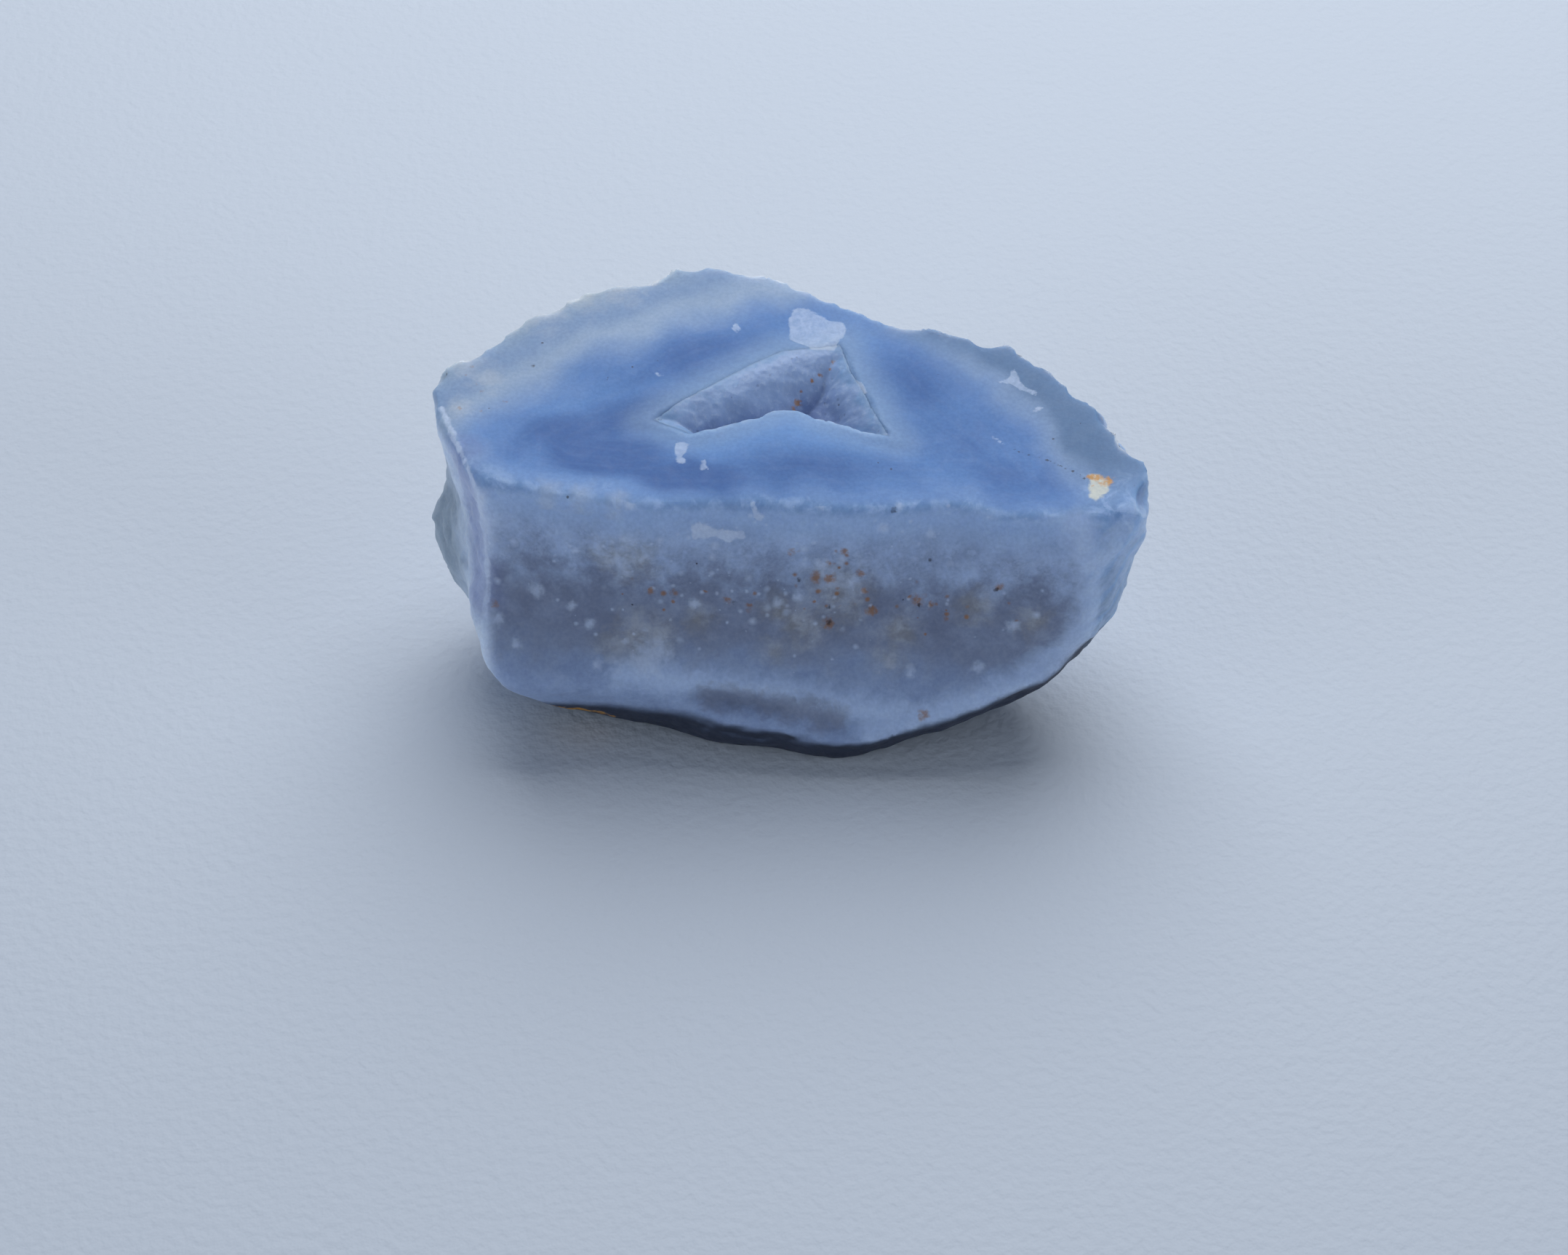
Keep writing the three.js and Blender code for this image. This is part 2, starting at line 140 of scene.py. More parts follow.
def makeSpecksGroup():
    # scattered round specks of uneven size; Density is the share of cells that hold one
    group = bpy.data.node_groups.new("scattered specks", "ShaderNodeTree")
    group.interface.new_socket("Vector", in_out="INPUT", socket_type="NodeSocketVector")
    for name, value in (("Cells per Metre", 1000.0), ("Density", 0.3), ("Size", 0.3), ("Softness", 0.3)):
        socket = group.interface.new_socket(name, in_out="INPUT", socket_type="NodeSocketFloat")
        socket.default_value = value
    group.interface.new_socket("Mask", in_out="OUTPUT", socket_type="NodeSocketFloat")
    into = group.nodes.new("NodeGroupInput").outputs
    out = group.nodes.new("NodeGroupOutput")
    warp = addNode(group, "TexNoise", {**speckWarp, "Vector": into["Vector"]}).outputs["Color"]
    shift = addNode(group, "VectorMath", {0: warp, 1: (speckBend,) * 3}, operation="MULTIPLY")
    place = addNode(group, "VectorMath", {0: into["Vector"], 1: shift.outputs[0]}, operation="ADD")
    cell = addNode(group, "TexVoronoi", {"Vector": place.outputs[0], "Scale": into["Cells per Metre"]})
    draw = addNode(group, "SeparateColor", {"Color": cell.outputs["Color"]})
    present = calc(group, "LESS_THAN", draw.outputs["Red"], into["Density"])
    size = times(group, into["Size"], remap(group, draw.outputs["Green"], 0, 1, 0.35, 1.0))
    inner = times(group, size, calc(group, "SUBTRACT", 1.0, into["Softness"]))
    discInputs = {"Value": cell.outputs["Distance"], "From Min": size, "From Max": inner}
    disc = addNode(group, "MapRange", discInputs).outputs["Result"]
    group.links.new(times(group, disc, present), out.inputs["Mask"])
    return group


specksGroup = makeSpecksGroup()


def specks(tree, place, cellsPerMetre, density, size, softness):
    inputs = {"Vector": place, "Cells per Metre": cellsPerMetre, "Density": density}
    inputs.update({"Size": size, "Softness": softness})
    return addNode(tree, "Group", inputs, node_tree=specksGroup).outputs["Mask"]


# shared mesh work

def copyOfNode(nodeName, pieceName):
    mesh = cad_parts[nodeName].data.copy()
    mesh.materials.clear()
    piece = addObject(pieceName, mesh)
    shape = bmesh.new()
    shape.from_mesh(mesh)
    bmesh.ops.remove_doubles(shape, verts=shape.verts, dist=0.001 * mm)
    shape.to_mesh(mesh)
    shape.free()
    return piece


def applyModifiers(piece):
    evaluated = piece.evaluated_get(bpy.context.evaluated_depsgraph_get())
    mesh = bpy.data.meshes.new_from_object(evaluated)
    piece.modifiers.clear()
    piece.data = mesh


def readPoints(mesh):
    places = np.zeros(len(mesh.vertices) * 3)
    normals = np.zeros(len(mesh.vertices) * 3)
    mesh.vertices.foreach_get("co", places)
    mesh.vertices.foreach_get("normal", normals)
    return places.reshape(-1, 3), normals.reshape(-1, 3)


def writePoints(mesh, places):
    mesh.vertices.foreach_set("co", places.astype(np.float32).ravel())
    mesh.update()


def addAttributes(mesh, layers):
    for name, values in layers.items():
        layer = mesh.attributes.new(name, "FLOAT", "POINT")
        layer.data.foreach_set("value", values.astype(np.float32))


def noiseAt(places, waveLength, seed, octaves=1):
    # smooth noise from about -1 to 1; waves are waveLength metres long
    shift = Vector((seed * 3.7, seed * 1.9, seed * 5.3))
    points = [Vector(p) / waveLength + shift for p in places.tolist()]
    if octaves > 1:
        return np.array([noise.fractal(p, 1.0, 2.0, octaves) for p in points])
    return np.array([noise.noise(p) for p in points])


def brokenSteps(places, size, seed):
    # one even value from about -1 to 1 for each cell, with sharp steps in between
    shift = Vector((seed * 2.3, seed * 4.1, seed * 1.3))
    middles = [noise.voronoi(Vector(p) / size + shift)[1][0] for p in places.tolist()]
    return np.array([noise.noise(m * 5.7) for m in middles])


def smoothStep(values, low, high):
    share = np.clip((values - low) / (high - low), 0, 1)
    return share * share * (3 - 2 * share)


def distanceToSegment(points, start, end):
    along = end - start
    share = np.clip(((points - start) @ along) / (along @ along), 0, 1)
    return np.linalg.norm(points - start - share[:, None] * along, axis=1)


def distanceToLoop(places, loop):
    # signed distance in millimetres from a closed loop seen from above, positive inside it
    flat = places[:, :2] / mm
    nearest = np.full(len(flat), np.inf)
    inside = np.zeros(len(flat), bool)
    for start, end in zip(loop, loop[1:] + loop[:1]):
        start, end = np.array(start), np.array(end)
        nearest = np.minimum(nearest, distanceToSegment(flat, start, end))
        run, rise = end - start
        crosses = (start[1] > flat[:, 1]) != (end[1] > flat[:, 1])
        if rise:
            inside ^= crosses & (flat[:, 0] < start[0] + run * (flat[:, 1] - start[1]) / rise)
    return np.where(inside, nearest, -nearest)


def distanceToPath(places, path):
    # distance in millimetres from an open path in space
    points = places / mm
    spans = [distanceToSegment(points, np.array(start), np.array(end)) for start, end in zip(path, path[1:])]
    return np.min(spans, axis=0)


def blotches(places, marks):
    # seen from above: 1 in the middle of a mark, 0 at its edge, down to -1 far from all
    best = np.full(len(places), -1.0)
    for mark in marks:
        away = places[:, :2] / mm - np.array(mark["at"])
        turn = math.radians(mark["turn"])
        along = away[:, 0] * math.cos(turn) + away[:, 1] * math.sin(turn)
        across = away[:, 1] * math.cos(turn) - away[:, 0] * math.sin(turn)
        long, wide = mark["size"]
        reach = np.sqrt((along / long) ** 2 + (across / wide) ** 2)
        best = np.maximum(best, mark["strength"] * (1 - reach))
    return best


def spotDistance(places, fromAbove, offTop, fromFront, offFront):
    # the distance to the nearest spot's middle in radii of that spot, with 99 for all that is further
    nearest = np.full(len(places), 99.0)
    for spots, off, rise in ((fromAbove, offTop, 1), (fromFront, offFront, 2)):
        for across, along, radius in spots:
            away = np.hypot(across - places[:, 0] / mm, along - places[:, rise] / mm) + off
            nearest = np.minimum(nearest, away / radius)
    return nearest


# the stone

agate = {
    "voxel": 0.22 * mm,
    "smoothing": 12,
    "crispness": 9.0,
    # the broken top's plane: height at the middle, rise towards +X and +Y
    "topHeight": 18.6,
    "topRise": (-0.04, 0.03),
    # the whitish band's loop on the broken top, and the hollow's mouth
    "whiteLoop": [
        (-19.9, -2.6), (-17.1, 0.4), (-13.2, 3.6), (-9.1, 5.9), (-5.5, 8.2), (-1.3, 10.2), (2.8, 9.9),
        (6.8, 7.6), (10.0, 5.2), (13.2, 2.6), (15.9, -0.6), (17.4, -4.5), (18.0, -8.0), (13.5, -8.6),
        (11.3, -7.6), (5.3, -8.3), (-1.3, -8.4), (-10.2, -8.4), (-15.0, -7.2), (-18.8, -5.9),
    ],
    "mouth": [
        (6.9, -2.4), (6.1, -0.8), (5.3, 1.4), (4.3, 3.8), (3.6, 6.5), (2.2, 5.9), (-0.3, 5.5), (-2.3, 4.1),
        (-4.8, 2.1), (-6.8, 0.6), (-8.6, -1.1), (-5.8, -2.4), (-4.1, -2.0), (-1.8, -1.0), (-0.2, -0.3),
        (1.0, -0.4), (2.2, -1.1), (4.1, -1.6),
    ],
}
# low relief: the size of its waves or cells, and its height in millimetres on each kind of surface
relief = {
    "lumps": {"size": 3.4 * mm, "onBreaks": 0.14, "onRind": 0.20},
    "bumps": {"size": 1.1 * mm, "onBreaks": 0.14, "onRind": 0.09, "onRim": 0.08},
    "ripple": {"size": 2.2 * mm, "onTop": 0.03},
    "steps": {"size": 1.7 * mm, "onBreaks": 0.2, "onRim": 0.4},
    "rimLift": 0.14,
}
# small shell-shaped chips of the rim: root of the radius in millimetres, depth as a share of the
# radius, and how far a chip's direction may turn along each axis
rimChips = {
    "count": 220,
    "seed": 11,
    "rootRadius": (0.5, 1.2),
    "depth": (0.08, 0.25),
    "turn": [(-0.4, 0.4), (-0.4, 0.4), (-0.2, 0.7)],
}

# deep blue places of the inner bands: middle, radii along and across, turn in degrees
deepPlaces = [
    {"at": (-11.6, -4.0), "size": (5.8, 2.6), "turn": -18, "strength": 1.5},
    {"at": (-6.6, -6.0), "size": (6.0, 1.6), "turn": -4, "strength": 1.3},
    {"at": (-13.6, -2.2), "size": (4.6, 1.8), "turn": 25, "strength": 1.1},
    {"at": (-9.6, -0.6), "size": (4.4, 2.6), "turn": 25, "strength": 0.9},
    {"at": (13.4, -5.0), "size": (3.6, 2.2), "turn": -25, "strength": 0.5},
    {"at": (11.0, -2.2), "size": (4.8, 3.4), "turn": -45, "strength": 0.4},
    {"at": (8.4, 2.4), "size": (4.2, 2.6), "turn": -50, "strength": 0.6},
    {"at": (-5.3, 4.8), "size": (6.6, 2.1), "turn": 28, "strength": 0.6},
    {"at": (1.6, -5.4), "size": (8.0, 1.7), "turn": 2, "strength": 0.6},
    {"at": (16.0, -5.2), "size": (1.9, 1.6), "turn": -20, "strength": 0.4},
]

# outlines of the white bruises on the top, seen from above
flakeOutlines = [
    [
        (0.2, 6.5), (0.2, 7.9), (0.4, 9.1), (0.8, 9.4), (1.5, 9.3), (2.1, 8.8), (2.8, 8.3), (3.5, 8.2),
        (3.8, 7.7), (3.6, 6.6), (3.1, 5.6), (1.7, 5.4), (0.6, 6.2),
    ],
    [(-3.3, 7.8), (-3.1, 7.7), (-2.9, 7.3), (-3.0, 6.9), (-3.4, 7.3)],
    [(-8.1, 3.0), (-7.6, 3.0), (-7.5, 2.7), (-7.9, 2.75)],
    [
        (-6.8, -3.1), (-6.5, -3.0), (-5.9, -3.4), (-6.3, -4.5), (-6.1, -4.9), (-6.2, -5.0), (-6.6, -4.8),
        (-6.7, -4.2),
    ],
    [(-5.1, -4.6), (-4.9, -4.7), (-4.9, -5.2), (-4.6, -5.6), (-5.1, -5.5)],
    [(4.3, 2.8), (4.7, 2.5), (5.1, 1.6), (4.9, 1.65), (4.6, 2.2)],
    [
        (13.2, 3.3), (14.0, 3.5), (14.4, 4.3), (14.6, 3.6), (15.0, 2.9), (15.8, 2.4), (15.7, 2.1),
        (15.1, 2.4), (14.6, 2.6), (14.3, 3.0), (13.7, 3.1),
    ],
    [(15.5, 0.7), (15.7, 1.1), (16.1, 1.1), (15.9, 0.9)],
    [(12.7, -1.3), (13.0, -1.4), (13.7, -2.1), (13.3, -2.05), (12.8, -1.6)],
]
# outlines of the white bruises on the rind, seen from the front: across and up
rindFlakeOutlines = [
    [
        (-5.7, 16.2), (-5.75, 17.1), (-5.1, 17.3), (-4.2, 16.7), (-3.5, 16.7), (-2.6, 16.5), (-2.5, 16.2),
        (-3.4, 15.9), (-4.4, 16.3), (-5.1, 16.1),
    ],
    [(-2.1, 18.3), (-1.9, 18.4), (-1.7, 18.0), (-1.2, 17.6), (-1.5, 17.3), (-1.9, 17.5)],
]
# outline of the yellow pocket on the right, seen from above
pocketOutline = [
    (18.7, -5.0), (18.8, -4.6), (19.1, -4.5), (20.0, -5.2), (19.8, -6.3), (19.0, -7.0), (18.5, -6.6),
    (18.7, -6.1),
]

# spots on the top, seen from above: across, back, radius
topSpots = {
    "white": [(5.0, -0.1, 0.3), (6.9, -8.0, 0.3)],
    "rust": [
        (-19.6, 3.1, 0.16), (-19.2, 1.5, 0.14), (-18.9, 0.9, 0.18), (-17.4, 0.1, 0.18), (-18.8, -0.8, 0.14),
        (-20.2, -0.7, 0.2), (17.5, 2.2, 0.12), (19.8, 0.8, 0.14), (-19.9, 2.3, 0.1), (-18.4, 0.2, 0.1),
    ],
    "dark": [
        (18.4, -0.4, 0.1), (16.6, -1.6, 0.11), (17.4, -2.2, 0.12), (13.3, -4.6, 0.1), (12.8, -0.4, 0.1),
        (18.8, -3.7, 0.11), (21.4, -5.7, 0.1), (6.5, -5.0, 0.12), (10.2, -5.5, 0.09), (-8.0, 4.1, 0.1),
        (-4.3, 4.6, 0.11), (-5.1, 2.6, 0.12), (-15.8, 3.3, 0.13), (-16.3, 4.2, 0.1), (-11.1, 2.4, 0.12),
        (-13.0, 3.1, 0.1), (-18.4, -0.5, 0.13), (-16.0, 7.6, 0.1), (-15.3, 8.3, 0.09), (-14.1, 7.1, 0.09),
        (-17.2, 5.3, 0.08), (-8.8, 4.6, 0.08), (-7.2, 3.5, 0.08), (-6.4, 2.9, 0.09), (-9.6, 3.4, 0.08),
        (9.6, 3.5, 0.1),
    ],
    "cream": [
        (-20.3, -0.6, 0.8), (-18.6, 2.2, 1.2), (-19.6, 3.0, 1.0), (-15.2, 8.0, 1.4), (-12.8, 9.4, 1.3),
        (-10.6, 10.4, 1.3), (-14.4, -7.3, 0.7), (-12.4, -7.6, 0.7), (-10.2, -8.0, 0.6),
    ],
}
# spots on the rind, seen from the front: across, up, radius
rindSpots = {
    "white": [
        (-9.4, 18.4, 0.35), (-12.8, 14.9, 0.3), (-15.4, 11.8, 0.55), (-12.1, 9.9, 0.4), (-13.2, 11.2, 0.35),
        (-16.7, 8.4, 0.35), (-17.8, 9.5, 0.4), (-5.6, 11.4, 0.4), (-0.5, 11.5, 0.4), (4.1, 12.8, 0.5),
        (0.8, 11.9, 0.4), (2.2, 14.1, 0.5), (14.1, 10.0, 0.5), (12.0, 7.2, 0.4), (7.8, 7.0, 0.4),
        (-11.7, 7.3, 0.4), (2.2, 18.3, 0.45), (6.0, 16.8, 0.4), (8.9, 15.9, 0.35), (-8.4, 7.8, 1.15),
        (-7.8, 8.2, 0.9),
    ],
    "rust": [
        (2.8, 14.1, 0.27), (3.6, 15.1, 0.27), (4.7, 13.5, 0.31), (4.9, 12.3, 0.31), (5.4, 10.9, 0.42),
        (2.7, 10.0, 0.42), (0.5, 15.0, 0.31), (2.0, 13.2, 0.42), (2.7, 13.2, 0.42), (8.3, 11.5, 0.45),
        (9.0, 11.3, 0.27), (10.0, 10.5, 0.27), (13.2, 12.6, 0.31), (-8.3, 12.3, 0.31), (-6.9, 12.1, 0.27),
        (-3.6, 11.8, 0.27), (-2.2, 11.3, 0.27), (8.6, 4.5, 0.36), (-18.0, 10.3, 0.31),
    ],
    "dark": [
        (0.8, 12.9, 0.2), (8.3, 11.2, 0.18), (2.7, 11.2, 0.2), (-3.1, 11.7, 0.18), (13.0, 12.4, 0.16),
        (2.7, 10.1, 0.2), (8.9, 14.2, 0.14), (6.6, 17.9, 0.2),
    ],
    "cream": [
        (-9.3, 14.6, 1.5), (-10.9, 14.7, 1.0), (-9.0, 9.2, 1.6), (-10.4, 8.6, 1.1), (-7.9, 9.1, 1.2),
        (15.3, 10.2, 1.0), (11.7, 11.3, 1.1), (-0.7, 8.3, 0.8), (6.6, 7.8, 1.0), (-0.4, 11.0, 1.0),
        (-5.4, 10.4, 1.0), (3.4, 12.0, 1.8), (1.0, 10.0, 1.4), (7.0, 9.6, 1.1),
    ],
}
# orange stains: the pocket's edge, seen from above, and the foot, seen from the front
pocketStains = [(18.9, -4.8, 0.3), (19.7, -5.15, 0.4), (19.3, -4.9, 0.25), (18.9, -5.6, 0.2)]
footStains = [(-14.4, 2.3, 0.5), (-13.4, 2.0, 0.5), (-12.6, 1.6, 0.4), (-11.8, 1.6, 0.5), (-11.0, 1.4, 0.3)]

# places on the rind with finer grains of one colour, seen from the front: middle, radii, turn, strength
grainPlaces = {
    "rust": [
        {"at": (3.2, 12.4), "size": (4.2, 3.4), "turn": 60, "strength": 1.0},
        {"at": (8.6, 11.2), "size": (3.0, 2.0), "turn": 0, "strength": 0.8},
        {"at": (-6.0, 11.8), "size": (7.0, 2.2), "turn": 0, "strength": 0.5},
        {"at": (13.0, 11.5), "size": (4.0, 2.0), "turn": 0, "strength": 0.4},
    ],
    "dark": [{"at": (2.0, 11.8), "size": (12.0, 4.0), "turn": 0, "strength": 0.6}],
    "white": [
        {"at": (-2.0, 13.0), "size": (22.0, 7.5), "turn": 0, "strength": 1.0},
        {"at": (4.0, 17.0), "size": (12.0, 1.6), "turn": 0, "strength": 1.0},
    ],
}

# paths in space along which marks run
agatePaths = {
    "crack": [
        [(14.1, -2.5, 17.6), (14.8, -2.9, 17.6), (16.2, -3.4, 17.5), (17.9, -4.4, 17.4), (18.4, -5.0, 17.4)],
    ],
    # pale bands where the rind ends at the stone's corners and at its lower lip: partly paler stone, partly
    # painted light on these thin edges
    "paleEdge": [
        [
            (17.8, -8.8, 16.6), (18.7, -9.4, 14.7), (18.9, -9.9, 11.5), (18.1, -10.5, 8.5),
            (14.5, -11.6, 6.0), (9.6, -12.6, 4.4), (5.5, -13.0, 3.6),
        ],
        [(-10.0, -11.5, 6.8), (-3.7, -11.9, 6.0), (4.1, -12.5, 4.9), (7.0, -12.7, 4.5)],
    ],
    # the bottom of the rind's notch, brown and darkened with painted shade
    "recess": [[(-4.8, -11.5, 5.2), (-2.5, -11.5, 4.9), (0.0, -12.0, 4.5), (3.0, -12.4, 4.2)]],
    # the left corner's thin light edge, and the lilac shade beside it
    "cornerEdge": [
        [
            (-21.3, -0.5, 19.3), (-20.5, -3.0, 19.1), (-19.5, -5.4, 18.9), (-18.8, -6.8, 17.8),
            (-18.6, -6.5, 15.1), (-18.5, -7.4, 13.4), (-18.5, -8.2, 11.6), (-18.6, -9.1, 9.4),
        ],
    ],
    "cornerShade": [
        [
            (-20.0, -4.3, 18.2), (-19.3, -5.6, 17.0), (-19.1, -5.6, 15.1), (-19.0, -6.3, 13.4),
            (-19.0, -7.1, 11.6), (-19.0, -8.0, 10.4),
        ],
    ],
}


def depthBelowTop(places):
    # millimetres below the broken top's plane
    riseX, riseY = agate["topRise"]
    top = agate["topHeight"] + riseX * places[:, 0] / mm + riseY * places[:, 1] / mm
    return top - places[:, 2] / mm


def insideMouth(places):
    # millimetres inside the hollow's mouth, seen from above, negative outside it
    return distanceToLoop(places, agate["mouth"])


def chipRim(places, normals):
    # shell-shaped chips: a ball bites in along its own direction and leaves its far skin
    rng = random.Random(rimChips["seed"])
    below = depthBelowTop(places)
    up, back = normals[:, 2], normals[:, 1]
    clearOfHollow = insideMouth(places) < -3
    onEdge = (below < 0.9) & (up > 0.1) & (up < 0.85) & clearOfHollow & (back > -0.3)
    edge = np.flatnonzero(onEdge)
    for _ in range(rimChips["count"]):
        i = int(edge[rng.randrange(len(edge))])
        radius = rng.uniform(*rimChips["rootRadius"]) ** 2 * mm
        depth = rng.uniform(*rimChips["depth"]) * radius
        sideways = Vector((normals[i][0], normals[i][1], 0)).normalized()
        turn = Vector([rng.uniform(*limits) for limits in rimChips["turn"]])
        outwards = (sideways + turn).normalized()
        middle = np.array(Vector(places[i]) + outwards * (radius - depth))
        biteBall(places, middle, radius, np.array(outwards))
    return places


def biteBall(places, middle, radius, outwards):
    away = places - middle
    along = away @ outwards
    room = radius ** 2 - (away ** 2).sum(axis=1)
    hit = (room > 0) & (along < 0)
    places[hit] -= (along[hit] + np.sqrt(along[hit] ** 2 + room[hit]))[:, None] * outwards


def relax(mesh, rounds):
    # evens out small facets; neighbours across a sharp edge hardly count, so the edge stays crisp
    places, normals = readPoints(mesh)
    ends = np.zeros(len(mesh.edges) * 2, int)
    mesh.edges.foreach_get("vertices", ends)
    ends = ends.reshape(-1, 2)
    ends = np.concatenate([ends, ends[:, ::-1]])
    alike = (normals[ends[:, 0]] * normals[ends[:, 1]]).sum(axis=1)
    nearRim = np.abs(depthBelowTop(places)) < 2.2
    softRidge = nearRim & (places[:, 1] / mm < -5) & (places[:, 0] / mm > -18.6)
    crispness = np.where(softRidge, 0, agate["crispness"])
    weight = np.exp(-crispness[ends[:, 0]] * (1 - alike))
    total = np.bincount(ends[:, 0], weight + 0.02, len(places))
    for _ in range(rounds):
        pull = places[ends[:, 1]] - places[ends[:, 0]]
        for axis in range(3):
            pulled = np.bincount(ends[:, 0], weight * pull[:, axis], len(places))
            places[:, axis] += 0.5 * pulled / total
    writePoints(mesh, places)


def curveTerms(places):
    x, y = places[:, 0] / mm, places[:, 1] / mm
    plain = [np.ones_like(x), x, y, x * x, x * y, y * y]
    return np.stack([*plain, x ** 3, x * x * y, x * y * y, y ** 3], axis=1)


def fitTop(places, normals):
    # the broken top round the hollow as a smooth surface: height from the place across and along
    hollow = insideMouth(places)
    near = (hollow < -0.8) & (hollow > -3.0) & (normals[:, 2] > 0.9)
    heights, *_ = np.linalg.lstsq(curveTerms(places[near]), places[near, 2], rcond=None)
    return heights


def findRind(places, normals):
    # 1 on the weathered rind, 0 on the breaks and the broken top
    x, y = places[:, 0] / mm, places[:, 1] / mm
    facingFront = smoothStep(-normals[:, 1], 0.25, 0.6)
    corners = smoothStep(19.0 - x, 0, 1.0) * smoothStep(x + 18.9, 0, 1.2)
    underRim = smoothStep(depthBelowTop(places), -0.2, 2.0)
    return facingFront * smoothStep(-y, 6.0, 8.2) * underRim * corners


def findRagged(places, normals):
    # 1 on the broken rim, except in front and round the hollow
    up = normals[:, 2]
    hips = smoothStep(up, -0.9, 0.9) * (1 - smoothStep(up, 0.8, 0.95))
    nearRim = smoothStep(1.8 - depthBelowTop(places), 0, 1)
    clearOfHollow = insideMouth(places) < -3
    return nearRim * hips * (1 - smoothStep(-normals[:, 1], 0.25, 0.6)) * clearOfHollow


def addRelief(places, normals, rind):
    # lumps and bumps on the breaks and the rind, a faint ripple on the top, broken steps on the rim
    offFloor = smoothStep(places[:, 2] / mm, 0.1, 1.2)
    side = smoothStep(depthBelowTop(places), 0.2, 1.2) * offFloor
    breaks = side * (1 - rind)
    ragged = findRagged(places, normals)
    wide, small, flat, cells = relief["lumps"], relief["bumps"], relief["ripple"], relief["steps"]
    lumps = noiseAt(places, wide["size"], 1)
    bumps = noiseAt(places, small["size"], 2, 3)
    ripple = noiseAt(places * np.array([1, 1, 0.4]), flat["size"], 3)
    steps = brokenSteps(places, cells["size"], 5)
    lift = breaks * (wide["onBreaks"] * lumps + small["onBreaks"] * bumps)
    lift = lift + rind * (wide["onRind"] * lumps + small["onRind"] * bumps)
    lift = lift + (1 - side) * flat["onTop"] * ripple
    rim = relief["rimLift"] + small["onRim"] * bumps + cells["onRim"] * steps
    lift += ragged * rim + breaks * cells["onBreaks"] * steps
    return places + normals * (lift * mm)[:, None]


def followHollow(places, nearTop):
    # round the mouth the stone follows the hollow's walls, just below the druse
    inside = insideMouth(places)
    fall = druseDepth(places) + 0.1 * smoothStep(inside, 0.2, 0.6)
    floor = curveTerms(places) @ agate["topCurve"] - fall * mm
    deeper = np.where(inside > 0.8, np.minimum(places[:, 2], floor), floor)
    nearMouth = smoothStep(inside, -0.8, -0.1) * nearTop
    places[:, 2] += nearMouth * (deeper - places[:, 2])


def addBandMasks(mesh, places, normals, even, rind):
    # where the bands, the rind, the painted shade on the underside and the lobe lie; even holds the places
    # before the relief
    x, y = even[:, 0] / mm, even[:, 1] / mm
    below = depthBelowTop(places)
    coarse = np.stack([noiseAt(places, 2.3 * mm, 20 + i) for i in range(3)], axis=1)
    loop = distanceToLoop(places + coarse * 0.5 * mm, agate["whiteLoop"])
    loop = loop - 0.8 * np.clip(below - 0.8, 0, None)
    loop -= 1.6 * smoothStep(-normals[:, 1], 0.1, 0.5) * (y < -6)
    # painted shade on the downward-facing underside, below a height that rises to the right
    underShadeTop = 4.4 + 0.33 * np.clip(x - 8, 0, None)
    under = smoothStep(-normals[:, 2], -0.2, 0.25) * smoothStep(underShadeTop - places[:, 2] / mm, 0, 1.6)
    deep = blotches(places + coarse * 0.9 * mm, deepPlaces) - smoothStep(below, 0.4, 1.2)
    farLeft = smoothStep(-places[:, 0] / mm + coarse[:, 0], 18.5, 21.5)
    lobe = farLeft * smoothStep(below + coarse[:, 1], 3.0, 7.0)
    addAttributes(mesh, {
        "loop": loop,
        "hollow": insideMouth(places),
        "depth": below,
        "rind": rind,
        "under": under * smoothStep(-y, 3.0, 9.0),
        "deep": deep,
        "side": smoothStep(below, 0.3, 1.5),
        "lobe": 0.75 * lobe * smoothStep(-y, -8.0, 0.0),
        "cloud": noiseAt(places, 3.2 * mm, 7, 4),
    })


def addMarkMasks(mesh, places, normals, even):
    # how far each point is from the bruises, spots, stains and paths; 9 keeps a mark off a surface
    inFront = even[:, 1] / mm < -6
    onTop = np.where(depthBelowTop(places) < 1.5, 0, 9)
    onFront = np.where(inFront, 3 - 3 * smoothStep(-normals[:, 1], 0.15, 0.45), 9)
    onFoot = np.where(inFront, 0, 9)
    fromFront = places[:, [0, 2, 1]]
    flake = np.max([distanceToLoop(places, outline) for outline in flakeOutlines], axis=0) - onTop
    rindFlakes = [distanceToLoop(fromFront, outline) for outline in rindFlakeOutlines]
    masks = {
        "flake": np.maximum(flake, np.max(rindFlakes, axis=0) - onFront),
        "pocket": distanceToLoop(places, pocketOutline) - onTop,
        "stain": spotDistance(places, pocketStains, onTop, footStains, onFoot),
    }
    for kind, spots in rindSpots.items():
        masks[kind] = spotDistance(places, topSpots[kind], onTop, spots, onFront)
    for kind, marks in grainPlaces.items():
        masks[kind + "Grains"] = np.clip(blotches(fromFront, marks), 0, 1) * (onFront < 1)
    for name, paths in agatePaths.items():
        masks[name] = np.min([distanceToPath(places, path) for path in paths], axis=0)
    addAttributes(mesh, masks)


